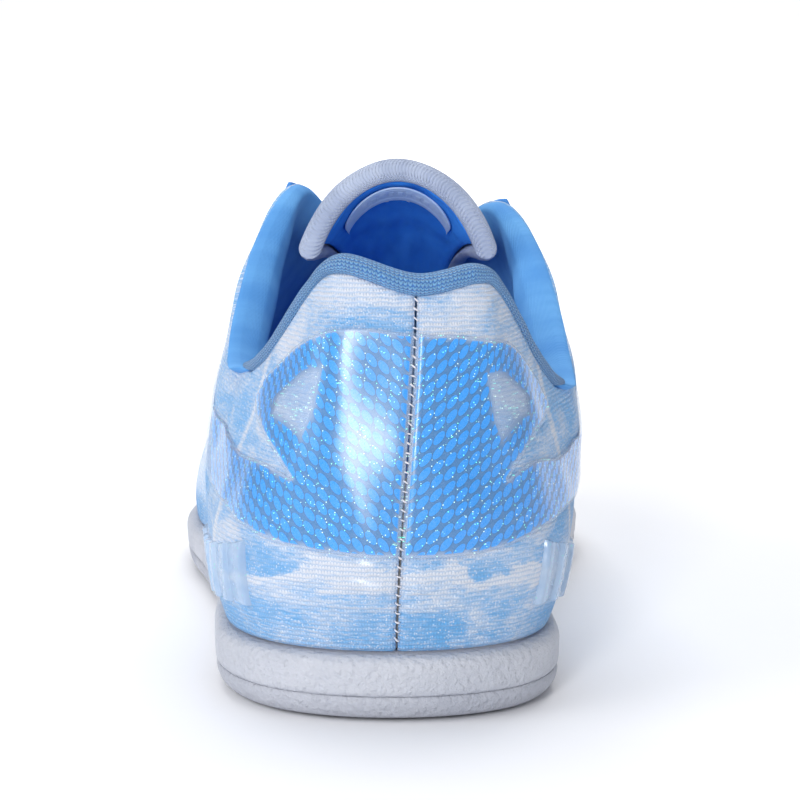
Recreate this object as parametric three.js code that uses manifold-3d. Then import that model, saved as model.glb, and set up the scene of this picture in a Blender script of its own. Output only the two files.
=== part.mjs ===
// Low-cut cheer shoe for the left foot: knit upper, clear heel film, padded collar and a flat two-part sole.
// Millimetres, +Z up, +Y from heel to toe, +X to the inner (medial) side of the foot.
import * as THREE from "three";
import { mergeVertices } from "three/addons/utils/BufferGeometryUtils.js";
import Module from "manifold-3d";

const wasm = await Module();
wasm.setup();

// ---------------------------------------------------------------- driving sizes
const lastLength = 250;
const ballWidth = 87;
const collarHeight = 71;
const toeSpring = 6;
const toeSpringStart = 186;

const outsoleThickness = 4.6;
const midsoleHeel = 7.6;
const midsoleForefoot = 5.4;
const soleRim = 2.6;
const soleTaper = 3.4;
const partingGap = 0.35;
const flexGrooves = 5;
const flexGrooveWidth = 2.2;
const flexGrooveDepth = 1.4;
const flexGroovePitch = 13;
const flexGrooveStart = 138;

const seatGap = 0.35;
const layerGap = 0.4;
const seamGap = 0.3;
const knitThickness = 1.4;
const stiffenerThickness = 1.1;
const liningThickness = 0.7;
const collarPadding = 4.4;
const filmThickness = 0.5;
const markThickness = 1.1;
const eyestayThickness = 1.0;
const eyestayWidth = 13;
const laceHoleDiameter = 3.6;
const laceHoleCount = 5;
const bindingThickness = 4.8;
const bindingRise = 4.2;
const bindingRiseEnds = 2.4;

const boardThickness = 1.5;
const boardInset = 4.9;
const socklinerThickness = 3.4;
const socklinerInset = 5.6;
const socklinerTaper = 1.8;
const coverThickness = 0.6;

const threadRadius = 0.35;
const stitchPitch = 4.2;
const stitchHalfWidth = 1.3;

const tonguePadding = 1.8;
const tongueRim = 3.4;
const tongueBaseArch = 18;
const tongueTipArch = 23;
const tongueBaseDepth = 16;
const tongueTipDepth = 31;
const tongueBaseAngle = 38;
const tongueTipAngle = 70;
const labelThickness = 0.3;
const labelReach = 0.68;
const labelPlace = 0.88;
const labelDroop = 0.1;

// ---------------------------------------------------------------- the last
// Stations round the shoe, drawn for a last 250 long, 87 wide at the ball and 71 from sole to heel collar.
// Each row: foot x, foot y, top x, top y, top z, low rise, low swell, high drop, high swell.
// The foot point lies on the feather line and the top point on the collar, throat or vamp edge.
const heelStation = [0.5, 2, 4.3, 8, 85.3, 24, 8.5, 24, 1];
const lateralStations = [
  [-13.5, 4.5, -10.3, 9, 89, 24, 8.5, 24, 1],
  [-25, 13, -16.7, 14, 82.6, 23, 8.5, 24, 2],
  [-32, 28, -24.2, 28, 69.5, 20, 8, 20, 3],
  [-33.8, 48, -30.4, 48, 62.2, 16, 7.5, 14, 5],
  [-34.2, 70, -34, 68, 64.2, 17, 7.5, 14, 4.5],
  [-35, 92, -30.4, 89, 81.3, 20, 6, 20, 5],
  [-37, 112, -22, 107, 94, 22, 5, 20, 9],
  [-40.5, 134, -14.5, 126, 84.5, 22, 4, 14, 12],
  [-44.8, 158, -12.5, 146, 72.5, 20, 4, 8, 14],
  [-45.5, 182, -11, 164, 62, 18, 4, 4, 14],
  [-41, 206, -8.5, 177, 56.5, 17, 4, 1, 14],
  [-31, 228, -5, 183, 54.3, 15, 3.5, 0, 14],
  [-15, 244, -2, 185, 53.6, 13, 3, 0, 16],
];
const toeStation = [3, 250, 0.5, 185.5, 53.5, 13, 3, 0, 18];
const medialStations = [
  [14, 5, 15.9, 10, 87, 24, 8.5, 24, 1],
  [24.5, 13.5, 20.4, 14.5, 83, 23, 8.5, 24, 2],
  [30, 28, 27.9, 30, 67.8, 20, 9, 20, 3],
  [30, 48, 34.6, 49, 58.6, 16, 8, 14, 4],
  [28, 70, 36.1, 70, 64.5, 17, 10, 14, 3.5],
  [27, 93, 31.6, 92, 81, 20, 11, 20, 6],
  [28.5, 114, 24, 108, 90.2, 22, 9, 20, 10.5],
  [33, 136, 15.5, 126, 84, 22, 8, 14, 15.5],
  [38.5, 160, 13.5, 146, 72.5, 20, 5, 8, 14],
  [41, 184, 12, 164, 62, 18, 4, 4, 14],
  [38.5, 208, 9.5, 177, 56.5, 17, 4, 1, 14],
  [31, 230, 6, 183, 54.3, 15, 3.5, 0, 14],
  [19, 245, 3, 185, 53.6, 13, 3, 0, 16],
];
const stations = [heelStation, ...lateralStations, toeStation, ...medialStations.slice().reverse()];
const stationCount = stations.length;
const toeU = stationCount / 2;
const widthScale = ballWidth / 87;
const lengthScale = lastLength / 250;
const heightScale = collarHeight / 71;

// Smooth step from 0 at a to 1 at b.
function ease(a, b, x) {
  const t = Math.min(Math.max((x - a) / (b - a), 0), 1);
  return t * t * (3 - 2 * t);
}

// Height of the ground line under the sole: flat, then curving up to the toe.
function groundLine(y) {
  const start = toeSpringStart * lengthScale;
  const t = Math.max((y - start) / (lastLength + soleRim - start), 0);
  return toeSpring * t * t;
}

// Height of the top of the outsole, and of the midsole, above each point of the length.
function outsoleTop(y) {
  return groundLine(y) + outsoleThickness;
}

function midsoleTop(y) {
  const forward = ease(70 * lengthScale, 190 * lengthScale, y);
  const thickness = midsoleHeel + (midsoleForefoot - midsoleHeel) * forward;
  return outsoleTop(y) + partingGap + thickness;
}

// The four curves that rule the upper's surface: feather line, two swelling lines and top line.
const footPoints = stations.map(([x, y]) => {
  const place = new THREE.Vector3(x * widthScale, y * lengthScale, 0);
  place.z = midsoleTop(place.y) + seatGap;
  return place;
});
const outward = footPoints.map((_, i) => {
  const before = footPoints[(i + stationCount - 1) % stationCount];
  const after = footPoints[(i + 1) % stationCount];
  return new THREE.Vector3(before.y - after.y, after.x - before.x, 0).normalize();
});
const soleHeight = outsoleThickness + partingGap + midsoleHeel + seatGap;
const topPoints = stations.map(([, , x, y, z]) => new THREE.Vector3(
  x * widthScale, y * lengthScale, soleHeight + (z - 13) * heightScale));
const lowPoints = stations.map((row, i) => footPoints[i].clone()
  .addScaledVector(outward[i], row[6]).add(new THREE.Vector3(0, 0, row[5] * heightScale)));
const highPoints = stations.map((row, i) => topPoints[i].clone()
  .addScaledVector(outward[i], row[8]).add(new THREE.Vector3(0, 0, -row[7] * heightScale)));
const [footCurve, lowCurve, highCurve, topCurve, outwardCurve] = [
  footPoints, lowPoints, highPoints, topPoints, outward,
].map((points) => new THREE.CatmullRomCurve3(points, true, "catmullrom", 0.5));

// Point of a closed curve at station number u, counted from the heel along the lateral side.
function along(curve, u) {
  return curve.getPoint((((u / stationCount) % 1) + 1) % 1);
}

// Point of the upper's outer surface: station u, and v from 0 at the feather line to 1 at the top line.
function lastPoint(u, v) {
  const w = 1 - v;
  return along(footCurve, u).multiplyScalar(w * w * w)
    .addScaledVector(along(lowCurve, u), 3 * w * w * v)
    .addScaledVector(along(highCurve, u), 3 * w * v * v)
    .addScaledVector(along(topCurve, u), v * v * v);
}

// The same point moved off the surface along its outward normal.
function upperPoint(u, v, offset) {
  const step = 0.01;
  const acrossU = lastPoint(u + step, v).sub(lastPoint(u - step, v));
  const low = Math.max(v - step, 0);
  const high = Math.min(v + step, 1);
  const acrossV = lastPoint(u, high).sub(lastPoint(u, low));
  const normal = acrossV.cross(acrossU).normalize();
  return lastPoint(u, v).addScaledVector(normal, offset);
}

// Length of the surface line at station u, from the feather line to the top line.
function wallLength(u) {
  const parts = 8;
  let length = 0;
  for (let i = 0; i < parts; i += 1) {
    length += lastPoint(u, i / parts).distanceTo(lastPoint(u, (i + 1) / parts));
  }
  return length;
}

// ---------------------------------------------------------------- mesh helpers
const shoe = new THREE.Group();

// Keeps positions only and joins shared vertices.
function weld(geometry) {
  geometry.deleteAttribute("normal");
  geometry.deleteAttribute("uv");
  return mergeVertices(geometry, 1e-4);
}

// A box grid bent into shape: place(a, b, c) gets each corner's shares of the box, 0 to 1.
function bentBox(na, nb, nc, place) {
  const geometry = weld(new THREE.BoxGeometry(1, 1, 1, na, nb, nc));
  const corners = geometry.attributes.position;
  for (let i = 0; i < corners.count; i += 1) {
    const point = place(corners.getX(i) + 0.5, corners.getY(i) + 0.5, corners.getZ(i) + 0.5);
    corners.setXYZ(i, point.x, point.y, point.z);
  }
  return geometry;
}

// Signed volume of a closed mesh, positive when its faces point out.
function signedVolume(geometry) {
  const corners = geometry.attributes.position;
  const index = geometry.index.array;
  const [a, b, c] = [new THREE.Vector3(), new THREE.Vector3(), new THREE.Vector3()];
  let volume = 0;
  for (let i = 0; i < index.length; i += 3) {
    a.fromBufferAttribute(corners, index[i]);
    b.fromBufferAttribute(corners, index[i + 1]);
    c.fromBufferAttribute(corners, index[i + 2]);
    volume += a.dot(b.cross(c)) / 6;
  }
  return volume;
}

// Turns every face round if the closed mesh is inside out.
function faceOut(geometry) {
  if (signedVolume(geometry) < 0) {
    const index = geometry.index.array;
    for (let i = 0; i < index.length; i += 3) {
      [index[i + 1], index[i + 2]] = [index[i + 2], index[i + 1]];
    }
  }
  return geometry;
}

// Splits every edge longer than the limit at its middle until none is left.
function splitLongEdges(geometry, limit) {
  let points = [];
  const corners = geometry.attributes.position;
  for (let i = 0; i < corners.count; i += 1) {
    points.push(new THREE.Vector3().fromBufferAttribute(corners, i));
  }
  let triangles = [];
  for (let i = 0; i < geometry.index.count; i += 3) {
    triangles.push([0, 1, 2].map((k) => geometry.index.getX(i + k)));
  }
  let changed = true;
  while (changed) {
    changed = false;
    const middles = new Map();
    const middle = (i, j) => {
      if (points[i].distanceTo(points[j]) <= limit) {
        return -1;
      }
      const key = i < j ? `${i}_${j}` : `${j}_${i}`;
      if (!middles.has(key)) {
        middles.set(key, points.length);
        points.push(points[i].clone().lerp(points[j], 0.5));
      }
      return middles.get(key);
    };
    const next = [];
    for (const [a, b, c] of triangles) {
      const split = [middle(a, b), middle(b, c), middle(c, a)];
      const longCount = split.filter((m) => m >= 0).length;
      changed = changed || longCount > 0;
      const turn = longCount === 1 ? split.findIndex((m) => m >= 0) : (split.findIndex((m) => m < 0) + 1) % 3;
      const corner = [a, b, c];
      const [p, q, r] = [0, 1, 2].map((k) => corner[(k + turn) % 3]);
      const [pq, qr, rp] = [0, 1, 2].map((k) => split[(k + turn) % 3]);
      if (longCount === 0) {
        next.push([a, b, c]);
      } else if (longCount === 1) {
        next.push([p, pq, r], [pq, q, r]);
      } else if (longCount === 2) {
        next.push([pq, q, qr], [p, pq, qr], [p, qr, r]);
      } else {
        next.push([p, pq, rp], [pq, q, qr], [rp, qr, r], [pq, qr, rp]);
      }
    }
    triangles = next;
  }
  const result = new THREE.BufferGeometry();
  result.setAttribute("position", new THREE.Float32BufferAttribute(points.flatMap((p) => p.toArray()), 3));
  result.setIndex(triangles.flat());
  return result;
}

function toSolid(geometry) {
  return new wasm.Manifold(new wasm.Mesh({
    numProp: 3,
    vertProperties: new Float32Array(geometry.attributes.position.array),
    triVerts: new Uint32Array(geometry.index.array),
  }));
}

function toGeometry(solid) {
  const mesh = solid.getMesh();
  const geometry = new THREE.BufferGeometry();
  geometry.setAttribute("position", new THREE.Float32BufferAttribute(mesh.vertProperties, 3));
  geometry.setIndex(Array.from(mesh.triVerts));
  return geometry;
}

// Cuts each tool out of a closed mesh.
function cutAway(geometry, tools) {
  let solid = toSolid(geometry);
  for (const tool of tools) {
    solid = solid.subtract(toSolid(tool));
  }
  return toGeometry(solid);
}

// Adds one named piece to the shoe.
function addPiece(name, geometry, colour, roughness) {
  const material = new THREE.MeshStandardMaterial({ color: colour, roughness, metalness: 0 });
  const mesh = new THREE.Mesh(geometry, material);
  mesh.name = name;
  shoe.add(mesh);
}

// ---------------------------------------------------------------- builders for layers
// The value of a list of stops at a share 0 to 1 that falls on one of them.
function stopAt(stops, share) {
  return stops[Math.round(share * (stops.length - 1))];
}

// Even stops from one value to another.
function evenStops(from, to, parts) {
  return Array.from({ length: parts + 1 }, (_, i) => from + (to - from) * i / parts);
}

// A layer of the upper over a list of stations. rows(u) gives its heights v, and its two faces may vary.
function layer({ columns, rows, outer, inner }) {
  return faceOut(bentBox(columns.length - 1, rows(columns[0]).length - 1, 1, (a, b, c) => {
    const u = stopAt(columns, a);
    const v = stopAt(rows(u), b);
    return upperPoint(u, v, inner(u, v) + (outer(u, v) - inner(u, v)) * c);
  }));
}

// A patch cut to an outline of [u, v] points and laid on the upper.
function patch(outline, inner, outer, edgeLimit) {
  const unitU = 14;
  const unitV = 72;
  const shape = new THREE.Shape(outline.map(([u, v]) => new THREE.Vector2(u * unitU, v * unitV)));
  const flat = weld(new THREE.ExtrudeGeometry(shape, { depth: 1, bevelEnabled: false }));
  const fine = splitLongEdges(flat, edgeLimit);
  const corners = fine.attributes.position;
  for (let i = 0; i < corners.count; i += 1) {
    const offset = inner + (outer - inner) * corners.getZ(i);
    const point = upperPoint(corners.getX(i) / unitU, corners.getY(i) / unitV, offset);
    corners.setXYZ(i, point.x, point.y, point.z);
  }
  return faceOut(fine);
}

// A slab that follows the sole's outline. Its sides step in or out by inset(c) with height share c.
function slab(across, lengthwise, layers, inset, heightAt) {
  const corner = 1.6;
  const toeCorner = toeU - 1.4;
  const edge = (u, c) => along(footCurve, u).addScaledVector(along(outwardCurve, u).normalize(), -inset(c));
  return faceOut(bentBox(across, lengthwise, layers, (a, b, c) => {
    const heel = edge(corner * (1 - 2 * a), c);
    const toe = edge(toeU + (toeU - toeCorner) * (2 * a - 1), c);
    const lateral = edge(corner + (toeCorner - corner) * b, c);
    const medial = edge(-corner - (toeCorner - corner) * b, c);
    const corners = [edge(corner, c), edge(-corner, c), edge(toeCorner, c), edge(-toeCorner, c)];
    const point = heel.multiplyScalar(1 - b).addScaledVector(toe, b)
      .addScaledVector(lateral, 1 - a).addScaledVector(medial, a)
      .addScaledVector(corners[0], -(1 - a) * (1 - b)).addScaledVector(corners[1], -a * (1 - b))
      .addScaledVector(corners[2], -(1 - a) * b).addScaledVector(corners[3], -a * b);
    const rim = Math.max(Math.abs(2 * a - 1), Math.abs(2 * b - 1));
    point.z = heightAt(point.y, c, rim);
    return point;
  }));
}

// ---------------------------------------------------------------- sole
const soleAcross = 6;
const soleLengthwise = 18;

// Inset of the sole's side from the feather line, by height share: rounded under, fullest two thirds up.
function outsoleInset(c) {
  return -soleRim + 0.6 + soleTaper * (1 - c) * (1 - c);
}

function midsoleInset(c) {
  return -soleRim + 0.5 * (1 - c) * (1 - c) + 2.1 * ease(0.6, 1, c) * c;
}

function makeOutsole() {
  const body = slab(soleAcross, soleLengthwise, 3, outsoleInset, (y, c) => {
    return groundLine(y) + outsoleThickness * (c < 0.5 ? c * 0.75 : 1 - (1 - c) * 1.25);
  });
  const grooves = [];
  for (let i = 0; i < flexGrooves; i += 1) {
    const groove = weld(new THREE.BoxGeometry(2 * ballWidth, flexGrooveWidth, 2 * flexGrooveDepth));
    const y = (flexGrooveStart + i * flexGroovePitch) * lengthScale;
    groove.translate(0, y, groundLine(y));
    grooves.push(groove);
  }
  return cutAway(body, grooves);
}

function makeMidsole() {
  return slab(soleAcross, soleLengthwise, 4, midsoleInset, (y, c) => {
    const bottom = outsoleTop(y) + partingGap;
    return bottom + (midsoleTop(y) - bottom) * c;
  });
}

function makeBoard() {
  return slab(soleAcross, soleLengthwise, 1, () => boardInset, (y, c) => {
    return midsoleTop(y) + seatGap + boardThickness * c;
  });
}

const boardTop = seatGap + boardThickness;
const socklinerTop = boardTop + seatGap + socklinerThickness;

// The wall leans in more over a longer or a lower last, so the insole narrows more to its top.
const socklinerLean = socklinerTaper * lengthScale / heightScale;

function makeSocklinerFoam() {
  return slab(soleAcross, soleLengthwise, 1, (c) => socklinerInset + socklinerLean * c, (y, c) => {
    return midsoleTop(y) + boardTop + seatGap + socklinerThickness * c;
  });
}

function makeSocklinerCover() {
  return slab(soleAcross, soleLengthwise, 1, () => socklinerInset + socklinerLean, (y, c) => {
    return midsoleTop(y) + socklinerTop + seatGap + coverThickness * c;
  });
}

addPiece("outsole", makeOutsole(), 0xc6c7d2, 0.55);
addPiece("midsole", makeMidsole(), 0xd4d6e0, 0.5);
addPiece("strobel_board", makeBoard(), 0xe4e2da, 0.9);
addPiece("sockliner_foam", makeSocklinerFoam(), 0x2f6fc4, 0.9);
addPiece("sockliner_cover", makeSocklinerCover(), 0x1d55b0, 0.85);

// ---------------------------------------------------------------- upper
const bindingEnd = 3.9;
const throatStart = 7;
const quarterEnd = 9;
const paddingStart = 0.54;
const knitRows = 8;
const liningFoot = 0.03;
const stiffenerOuter = -(knitThickness + layerGap);
const liningOuter = stiffenerOuter - stiffenerThickness - layerGap;

// Height of the collar binding above the knit's edge, by station distance from the heel seam.
function bindingHeight(u) {
  const distance = Math.abs(u);
  const height = bindingRise + (bindingRiseEnds - bindingRise) * ease(0.6, 2, distance);
  return height * (1 - ease(bindingEnd - 0.5, bindingEnd, distance));
}

// Upper edge of the knit: below the binding round the heel, at the top line everywhere else.
function knitEdge(u) {
  const distance = u > toeU ? stationCount - u : u;
  return 1 - bindingHeight(distance) / wallLength(u);
}

// Extra thickness of the collar padding, rolled to nothing at the top line.
function padding(u, v) {
  const distance = Math.abs(u > toeU ? stationCount - u : u);
  const t = Math.min(Math.max((v - paddingStart) / (1 - paddingStart), 0), 1);
  const roll = Math.pow(Math.sin(Math.PI * Math.pow(t, 1.5)), 0.7);
  return collarPadding * (t > 0 && t < 1 ? roll : 0) * (1 - ease(5.6, 7.4, distance));
}

function liningFace(u, v) {
  return liningOuter - padding(u, v);
}

// Both sides of the shoe: the lateral side counts stations up from the heel, the medial side down.
const sides = [
  { name: "lateral", at: (u) => u },
  { name: "medial", at: (u) => stationCount - u },
];
const seamU = (seamGap / 2) / footPoints[0].distanceTo(footPoints[1]);
const vampSeamU = (seamGap / 2) / footPoints[quarterEnd].distanceTo(footPoints[quarterEnd + 1]);

// Stations of the grid lines: close together round the heel and the toe, further apart along the sides.
const vampSeam = [quarterEnd - vampSeamU, quarterEnd + vampSeamU];
const sideColumns = [seamU, 0.5, 1, 1.5, 2, 2.5, 3, 3.5, 4.25, 5, 5.75, 6.5, throatStart, 8, vampSeam[0]];
const toeColumns = [vampSeam[1], 10, 11, 11.5, 12, 12.5, 13, 13.5];
const vampColumns = [...toeColumns, toeU, ...toeColumns.map((u) => stationCount - u).reverse()];

// Round cutters through the upper for the lace holes beside the throat.
function laceHoleTools(at) {
  const tools = [];
  for (let i = 0; i < laceHoleCount; i += 1) {
    const u = at(throatStart + 0.45 + i * 0.95);
    const v = 1 - (eyestayWidth / 2) / wallLength(u);
    const tool = weld(new THREE.CylinderGeometry(laceHoleDiameter / 2, laceHoleDiameter / 2, 16, 8));
    const normal = upperPoint(u, v, 1).sub(upperPoint(u, v, 0));
    tool.applyQuaternion(new THREE.Quaternion().setFromUnitVectors(new THREE.Vector3(0, 1, 0), normal));
    const place = upperPoint(u, v, liningOuter / 2);
    tool.translate(place.x, place.y, place.z);
    tools.push(tool);
  }
  return tools;
}

// Heights of the knit's rows at station u, counted from the feather line.
function knitRow(u, row) {
  return knitEdge(u) * row / knitRows;
}

// Heights of the padded rows, shared by the foam and the lining over it.
function paddedRows(u) {
  return evenStops(paddingStart + 0.02, knitEdge(u) - 1.5 / wallLength(u), 6);
}

function makeKnit(columns, holes) {
  return cutAway(layer({
    columns,
    rows: (u) => evenStops(0, knitEdge(u), knitRows),
    outer: () => 0,
    inner: () => -knitThickness,
  }), holes);
}

function makeLining(columns, rows, holes) {
  return cutAway(layer({
    columns, rows,
    outer: liningFace,
    inner: (u, v) => liningFace(u, v) - liningThickness,
  }), holes);
}

// A stiffener between knit and lining, from just above the feather line up to a row of the knit.
function makeStiffener(columns, lastRow) {
  return layer({
    columns,
    rows: (u) => [liningFoot, ...evenStops(knitRow(u, 1), knitRow(u, lastRow), lastRow - 1)],
    outer: () => stiffenerOuter,
    inner: () => stiffenerOuter - stiffenerThickness,
  });
}

for (const side of sides) {
  const at = side.at;
  const holes = laceHoleTools(at);
  const columns = sideColumns.map(at);
  addPiece(`quarter_${side.name}`, makeKnit(columns, holes), 0xb9cfe8, 0.8);
  const liningRows = (u) => [
    ...evenStops(liningFoot, knitRow(u, 4), 3), ...paddedRows(u), knitEdge(u) - 0.6 / wallLength(u),
  ];
  addPiece(`collar_lining_${side.name}`, makeLining(columns, liningRows, holes), 0x5b97d8, 0.75);
  addPiece(`collar_foam_${side.name}`, layer({
    columns: sideColumns.filter((u) => u <= throatStart).map(at),
    rows: (u) => paddedRows(u).map((v, i, all) => (i < all.length - 1 ? v : v - 0.8 / wallLength(u))),
    outer: () => stiffenerOuter,
    inner: (u, v) => liningFace(u, v) + 2 * layerGap,
  }), 0xd8e4f2, 0.95);
}
const vampHoles = sides.flatMap((side) => laceHoleTools(side.at));
addPiece("vamp", makeKnit(vampColumns, vampHoles), 0xb4d4f4, 0.6);
const vampLiningRows = (u) => [liningFoot, ...evenStops(knitRow(u, 1), knitRow(u, 7), 6), 0.97];
addPiece("vamp_lining", makeLining(vampColumns, vampLiningRows, vampHoles), 0x3f7fd0, 0.85);

addPiece("heel_counter", makeStiffener(evenStops(-3.5, 3.5, 14), 4), 0xe9e6dc, 0.7);
addPiece("toe_puff", makeStiffener(evenStops(toeU - 2.5, toeU + 2.5, 10), 4), 0xe9e6dc, 0.7);

// Rolled knit binding along the heel collar, an oval section that thins towards its ends.
function makeBinding() {
  const stops = evenStops(-3.5, 3.5, 14);
  const tube = weld(new THREE.CylinderGeometry(1, 1, 1, 10, stops.length - 1));
  const corners = tube.attributes.position;
  for (let i = 0; i < corners.count; i += 1) {
    const u = stopAt(stops, corners.getY(i) + 0.5);
    const radius = Math.hypot(corners.getX(i), corners.getZ(i));
    const round = radius > 0.5 ? 1 : 0;
    const half = bindingHeight(u) / 2;
    const reach = (half - 0.2) / wallLength(u);
    const v = 1 - reach + round * reach * corners.getX(i);
    const thickness = bindingThickness * (0.62 + 0.38 * half / (bindingRise / 2));
    const offset = 1 - thickness / 2 + round * (thickness / 2) * corners.getZ(i);
    const point = upperPoint(u, v, offset);
    corners.setXYZ(i, point.x, point.y, point.z);
  }
  return faceOut(tube);
}
addPiece("heel_binding", makeBinding(), 0x6fa9de, 0.85);

// ---------------------------------------------------------------- heel film, side marks and eyestays
const filmFoot = 0.26;
const filmHead = 0.845;
// Outline of one half of the clear heel film as [u, v]: wing, notch and the arm along the side.
const filmOutline = [
  [0.02, filmFoot], [0.02, filmHead], [0.45, 0.83], [0.9, 0.808], [1.35, 0.806], [2.3, 0.85],
  [2.8, 0.86], [3.02, 0.82], [2.75, 0.72], [2.2, 0.59], [1.5, 0.453],
  [2.3, 0.54], [3, 0.62], [3.8, 0.74], [5.2, 0.76], [6.3, 0.68],
  [5.4, 0.58], [4.4, 0.53], [3.75, 0.495], [3, 0.44], [2.5, 0.365], [2, 0.315], [1.5, 0.28], [1, 0.262],
];
// Raised side mark: a row of slanted bars joined by a rail, as [u, v].
const markStart = 2.1;
const markBars = 6;
const markPitch = 0.42;
const markBarWidth = 0.2;
const markLean = 0.15;
const markFoot = 0.1;
const markHead = 0.3;
const markRailFoot = 0.17;
const markRailHead = 0.23;

// Corner of a bar at height v, on its near edge or its far edge.
function markCorner(bar, far, v) {
  const lean = markLean * (v - markFoot) / (markHead - markFoot);
  return [markStart + bar * markPitch + (far ? markBarWidth : 0) + lean, v];
}

function makeMarkOutline() {
  const upper = [];
  const lower = [];
  for (let bar = 0; bar < markBars; bar += 1) {
    if (bar > 0) {
      upper.push(markCorner(bar, false, markRailHead));
      lower.push(markCorner(bar, false, markRailFoot));
    }
    upper.push(markCorner(bar, false, markHead), markCorner(bar, true, markHead));
    lower.push(markCorner(bar, false, markFoot), markCorner(bar, true, markFoot));
    if (bar < markBars - 1) {
      upper.push(markCorner(bar, true, markRailHead));
      lower.push(markCorner(bar, true, markRailFoot));
    }
  }
  return [...upper, ...lower.reverse()];
}
const markOutline = makeMarkOutline();

for (const side of sides) {
  const film = filmOutline.map(([u, v]) => [side.at(u), v]);
  addPiece(`heel_film_${side.name}`, patch(film, layerGap, layerGap + filmThickness, 9), 0x86b4e2, 0.2);
  const mark = markOutline.map(([u, v]) => [side.at(u), v]);
  addPiece(`side_mark_${side.name}`, patch(mark, layerGap, layerGap + markThickness, 8), 0xdfe9f6, 0.25);
  addPiece(`eyestay_${side.name}`, cutAway(layer({
    columns: evenStops(throatStart + 0.1, toeU - 2.2, 8).map(side.at),
    rows: (u) => evenStops(1 - eyestayWidth / wallLength(u), 1 - 0.6 / wallLength(u), 2),
    outer: () => layerGap + eyestayThickness,
    inner: () => layerGap,
  }), laceHoleTools(side.at)), 0x2f6fc0, 0.6);
}

// Zigzag thread over the heel seam, lifted where it crosses the film.
function makeSeamThread() {
  const from = 0.03;
  const to = 0.9;
  const count = Math.round((to - from) * wallLength(0) / stitchPitch);
  const halfU = stitchHalfWidth / footPoints[0].distanceTo(footPoints[1]);
  const points = [];
  for (let i = 0; i <= 2 * count; i += 1) {
    const v = from + (to - from) * i / (2 * count);
    const onFilm = ease(filmFoot - 0.05, filmFoot - 0.02, v) * (1 - ease(filmHead + 0.02, filmHead + 0.05, v));
    const lift = threadRadius + 0.3 + (layerGap + filmThickness) * onFilm;
    points.push(upperPoint(halfU * (i % 2 === 0 ? -1 : 1), v, lift));
  }
  const path = new THREE.CatmullRomCurve3(points, false, "catmullrom", 0.2);
  const section = new THREE.Shape();
  section.absarc(0, 0, threadRadius, 0, 2 * Math.PI);
  const tube = new THREE.ExtrudeGeometry(section, {
    steps: 4 * count, curveSegments: 3, extrudePath: path, bevelEnabled: false,
  });
  return faceOut(weld(tube));
}
addPiece("heel_seam_thread", makeSeamThread(), 0xe6e2ee, 0.5);

// ---------------------------------------------------------------- tongue
// Centre line of the tongue's outer face, from under the vamp to the tip, for the same base last.
const tongueLine = new THREE.CatmullRomCurve3([
  [1, 190, 45.5], [0.9, 182, 49.6], [0.9, 172, 55.4], [1, 158, 64.2], [1, 140, 75.4],
  [1, 122, 86.2], [1, 108, 93.4], [1, 98, 98], [1, 91.5, 100.6],
].map(([x, y, z]) => new THREE.Vector3(x * widthScale, y * lengthScale, soleHeight + (z - 13) * heightScale)));

// Point of the tongue: p from base to tip, q from -1 to 1 across, offset inwards from the outer face.
function tonguePoint(p, q, offset) {
  const grow = ease(0.25, 1, p);
  const half = THREE.MathUtils.degToRad(tongueBaseAngle + (tongueTipAngle - tongueBaseAngle) * grow);
  const width = (tongueBaseArch + (tongueTipArch - tongueBaseArch) * grow) * widthScale;
  const depth = (tongueBaseDepth + (tongueTipDepth - tongueBaseDepth) * grow) * heightScale;
  const angle = half * q;
  const trim = 0.05 * q * q * ease(0.6, 1, p);
  const inwards = new THREE.Vector3(0, -0.3, -1).normalize();
  const normal = new THREE.Vector3(-depth * Math.sin(angle), 0, 0)
    .addScaledVector(inwards, width * Math.cos(angle)).normalize();
  return tongueLine.getPoint(p * (1 - trim))
    .add(new THREE.Vector3(width * Math.sin(angle), 0, 0))
    .addScaledVector(inwards, depth * (1 - Math.cos(angle)))
    .addScaledVector(normal, offset * (0.45 + 0.55 * ease(0, 0.25, p)));
}

const tongueFoamFace = knitThickness + layerGap;
const tongueLiningFace = tongueFoamFace + tonguePadding + layerGap;
const tongueBack = tongueLiningFace + liningThickness;
const tongueLength = tongueLine.getLength();
const tongueHalfGirth = tongueTipArch * THREE.MathUtils.degToRad(tongueTipAngle);
const rimP = tongueRim / tongueLength;
const rimQ = tongueRim / tongueHalfGirth;
const acrossStops = evenStops(-(1 - rimQ), 1 - rimQ, 8);
const alongStops = evenStops(0.03, 1 - rimP, 10);

// The knit shell: a sheet whose free edges turn in over the padding.
function makeTongueShell() {
  const across = [-1, -1 + 0.35 * rimQ, -1 + 0.75 * rimQ, ...acrossStops,
    1 - 0.75 * rimQ, 1 - 0.35 * rimQ, 1];
  const lengthwise = [0, ...alongStops, 1 - 0.75 * rimP, 1 - 0.35 * rimP, 1];
  return faceOut(bentBox(across.length - 1, lengthwise.length - 1, 1, (a, b, c) => {
    const q = stopAt(across, a);
    const p = stopAt(lengthwise, b);
    const inRim = Math.max(Math.abs(q) - (1 - 0.8 * rimQ), 0) > 0 || p > 1 - 0.8 * rimP;
    return tonguePoint(p, q, c * (inRim ? tongueBack : knitThickness));
  }));
}

function makeTongueLayer(near, far) {
  const shrinkQ = 1 - layerGap / tongueHalfGirth;
  const shrinkP = 1 - layerGap / tongueLength;
  return faceOut(bentBox(acrossStops.length - 1, alongStops.length - 1, 1, (a, b, c) => {
    return tonguePoint(stopAt(alongStops, b) * shrinkP, stopAt(acrossStops, a) * shrinkQ, near + (far - near) * c);
  }));
}

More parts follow.
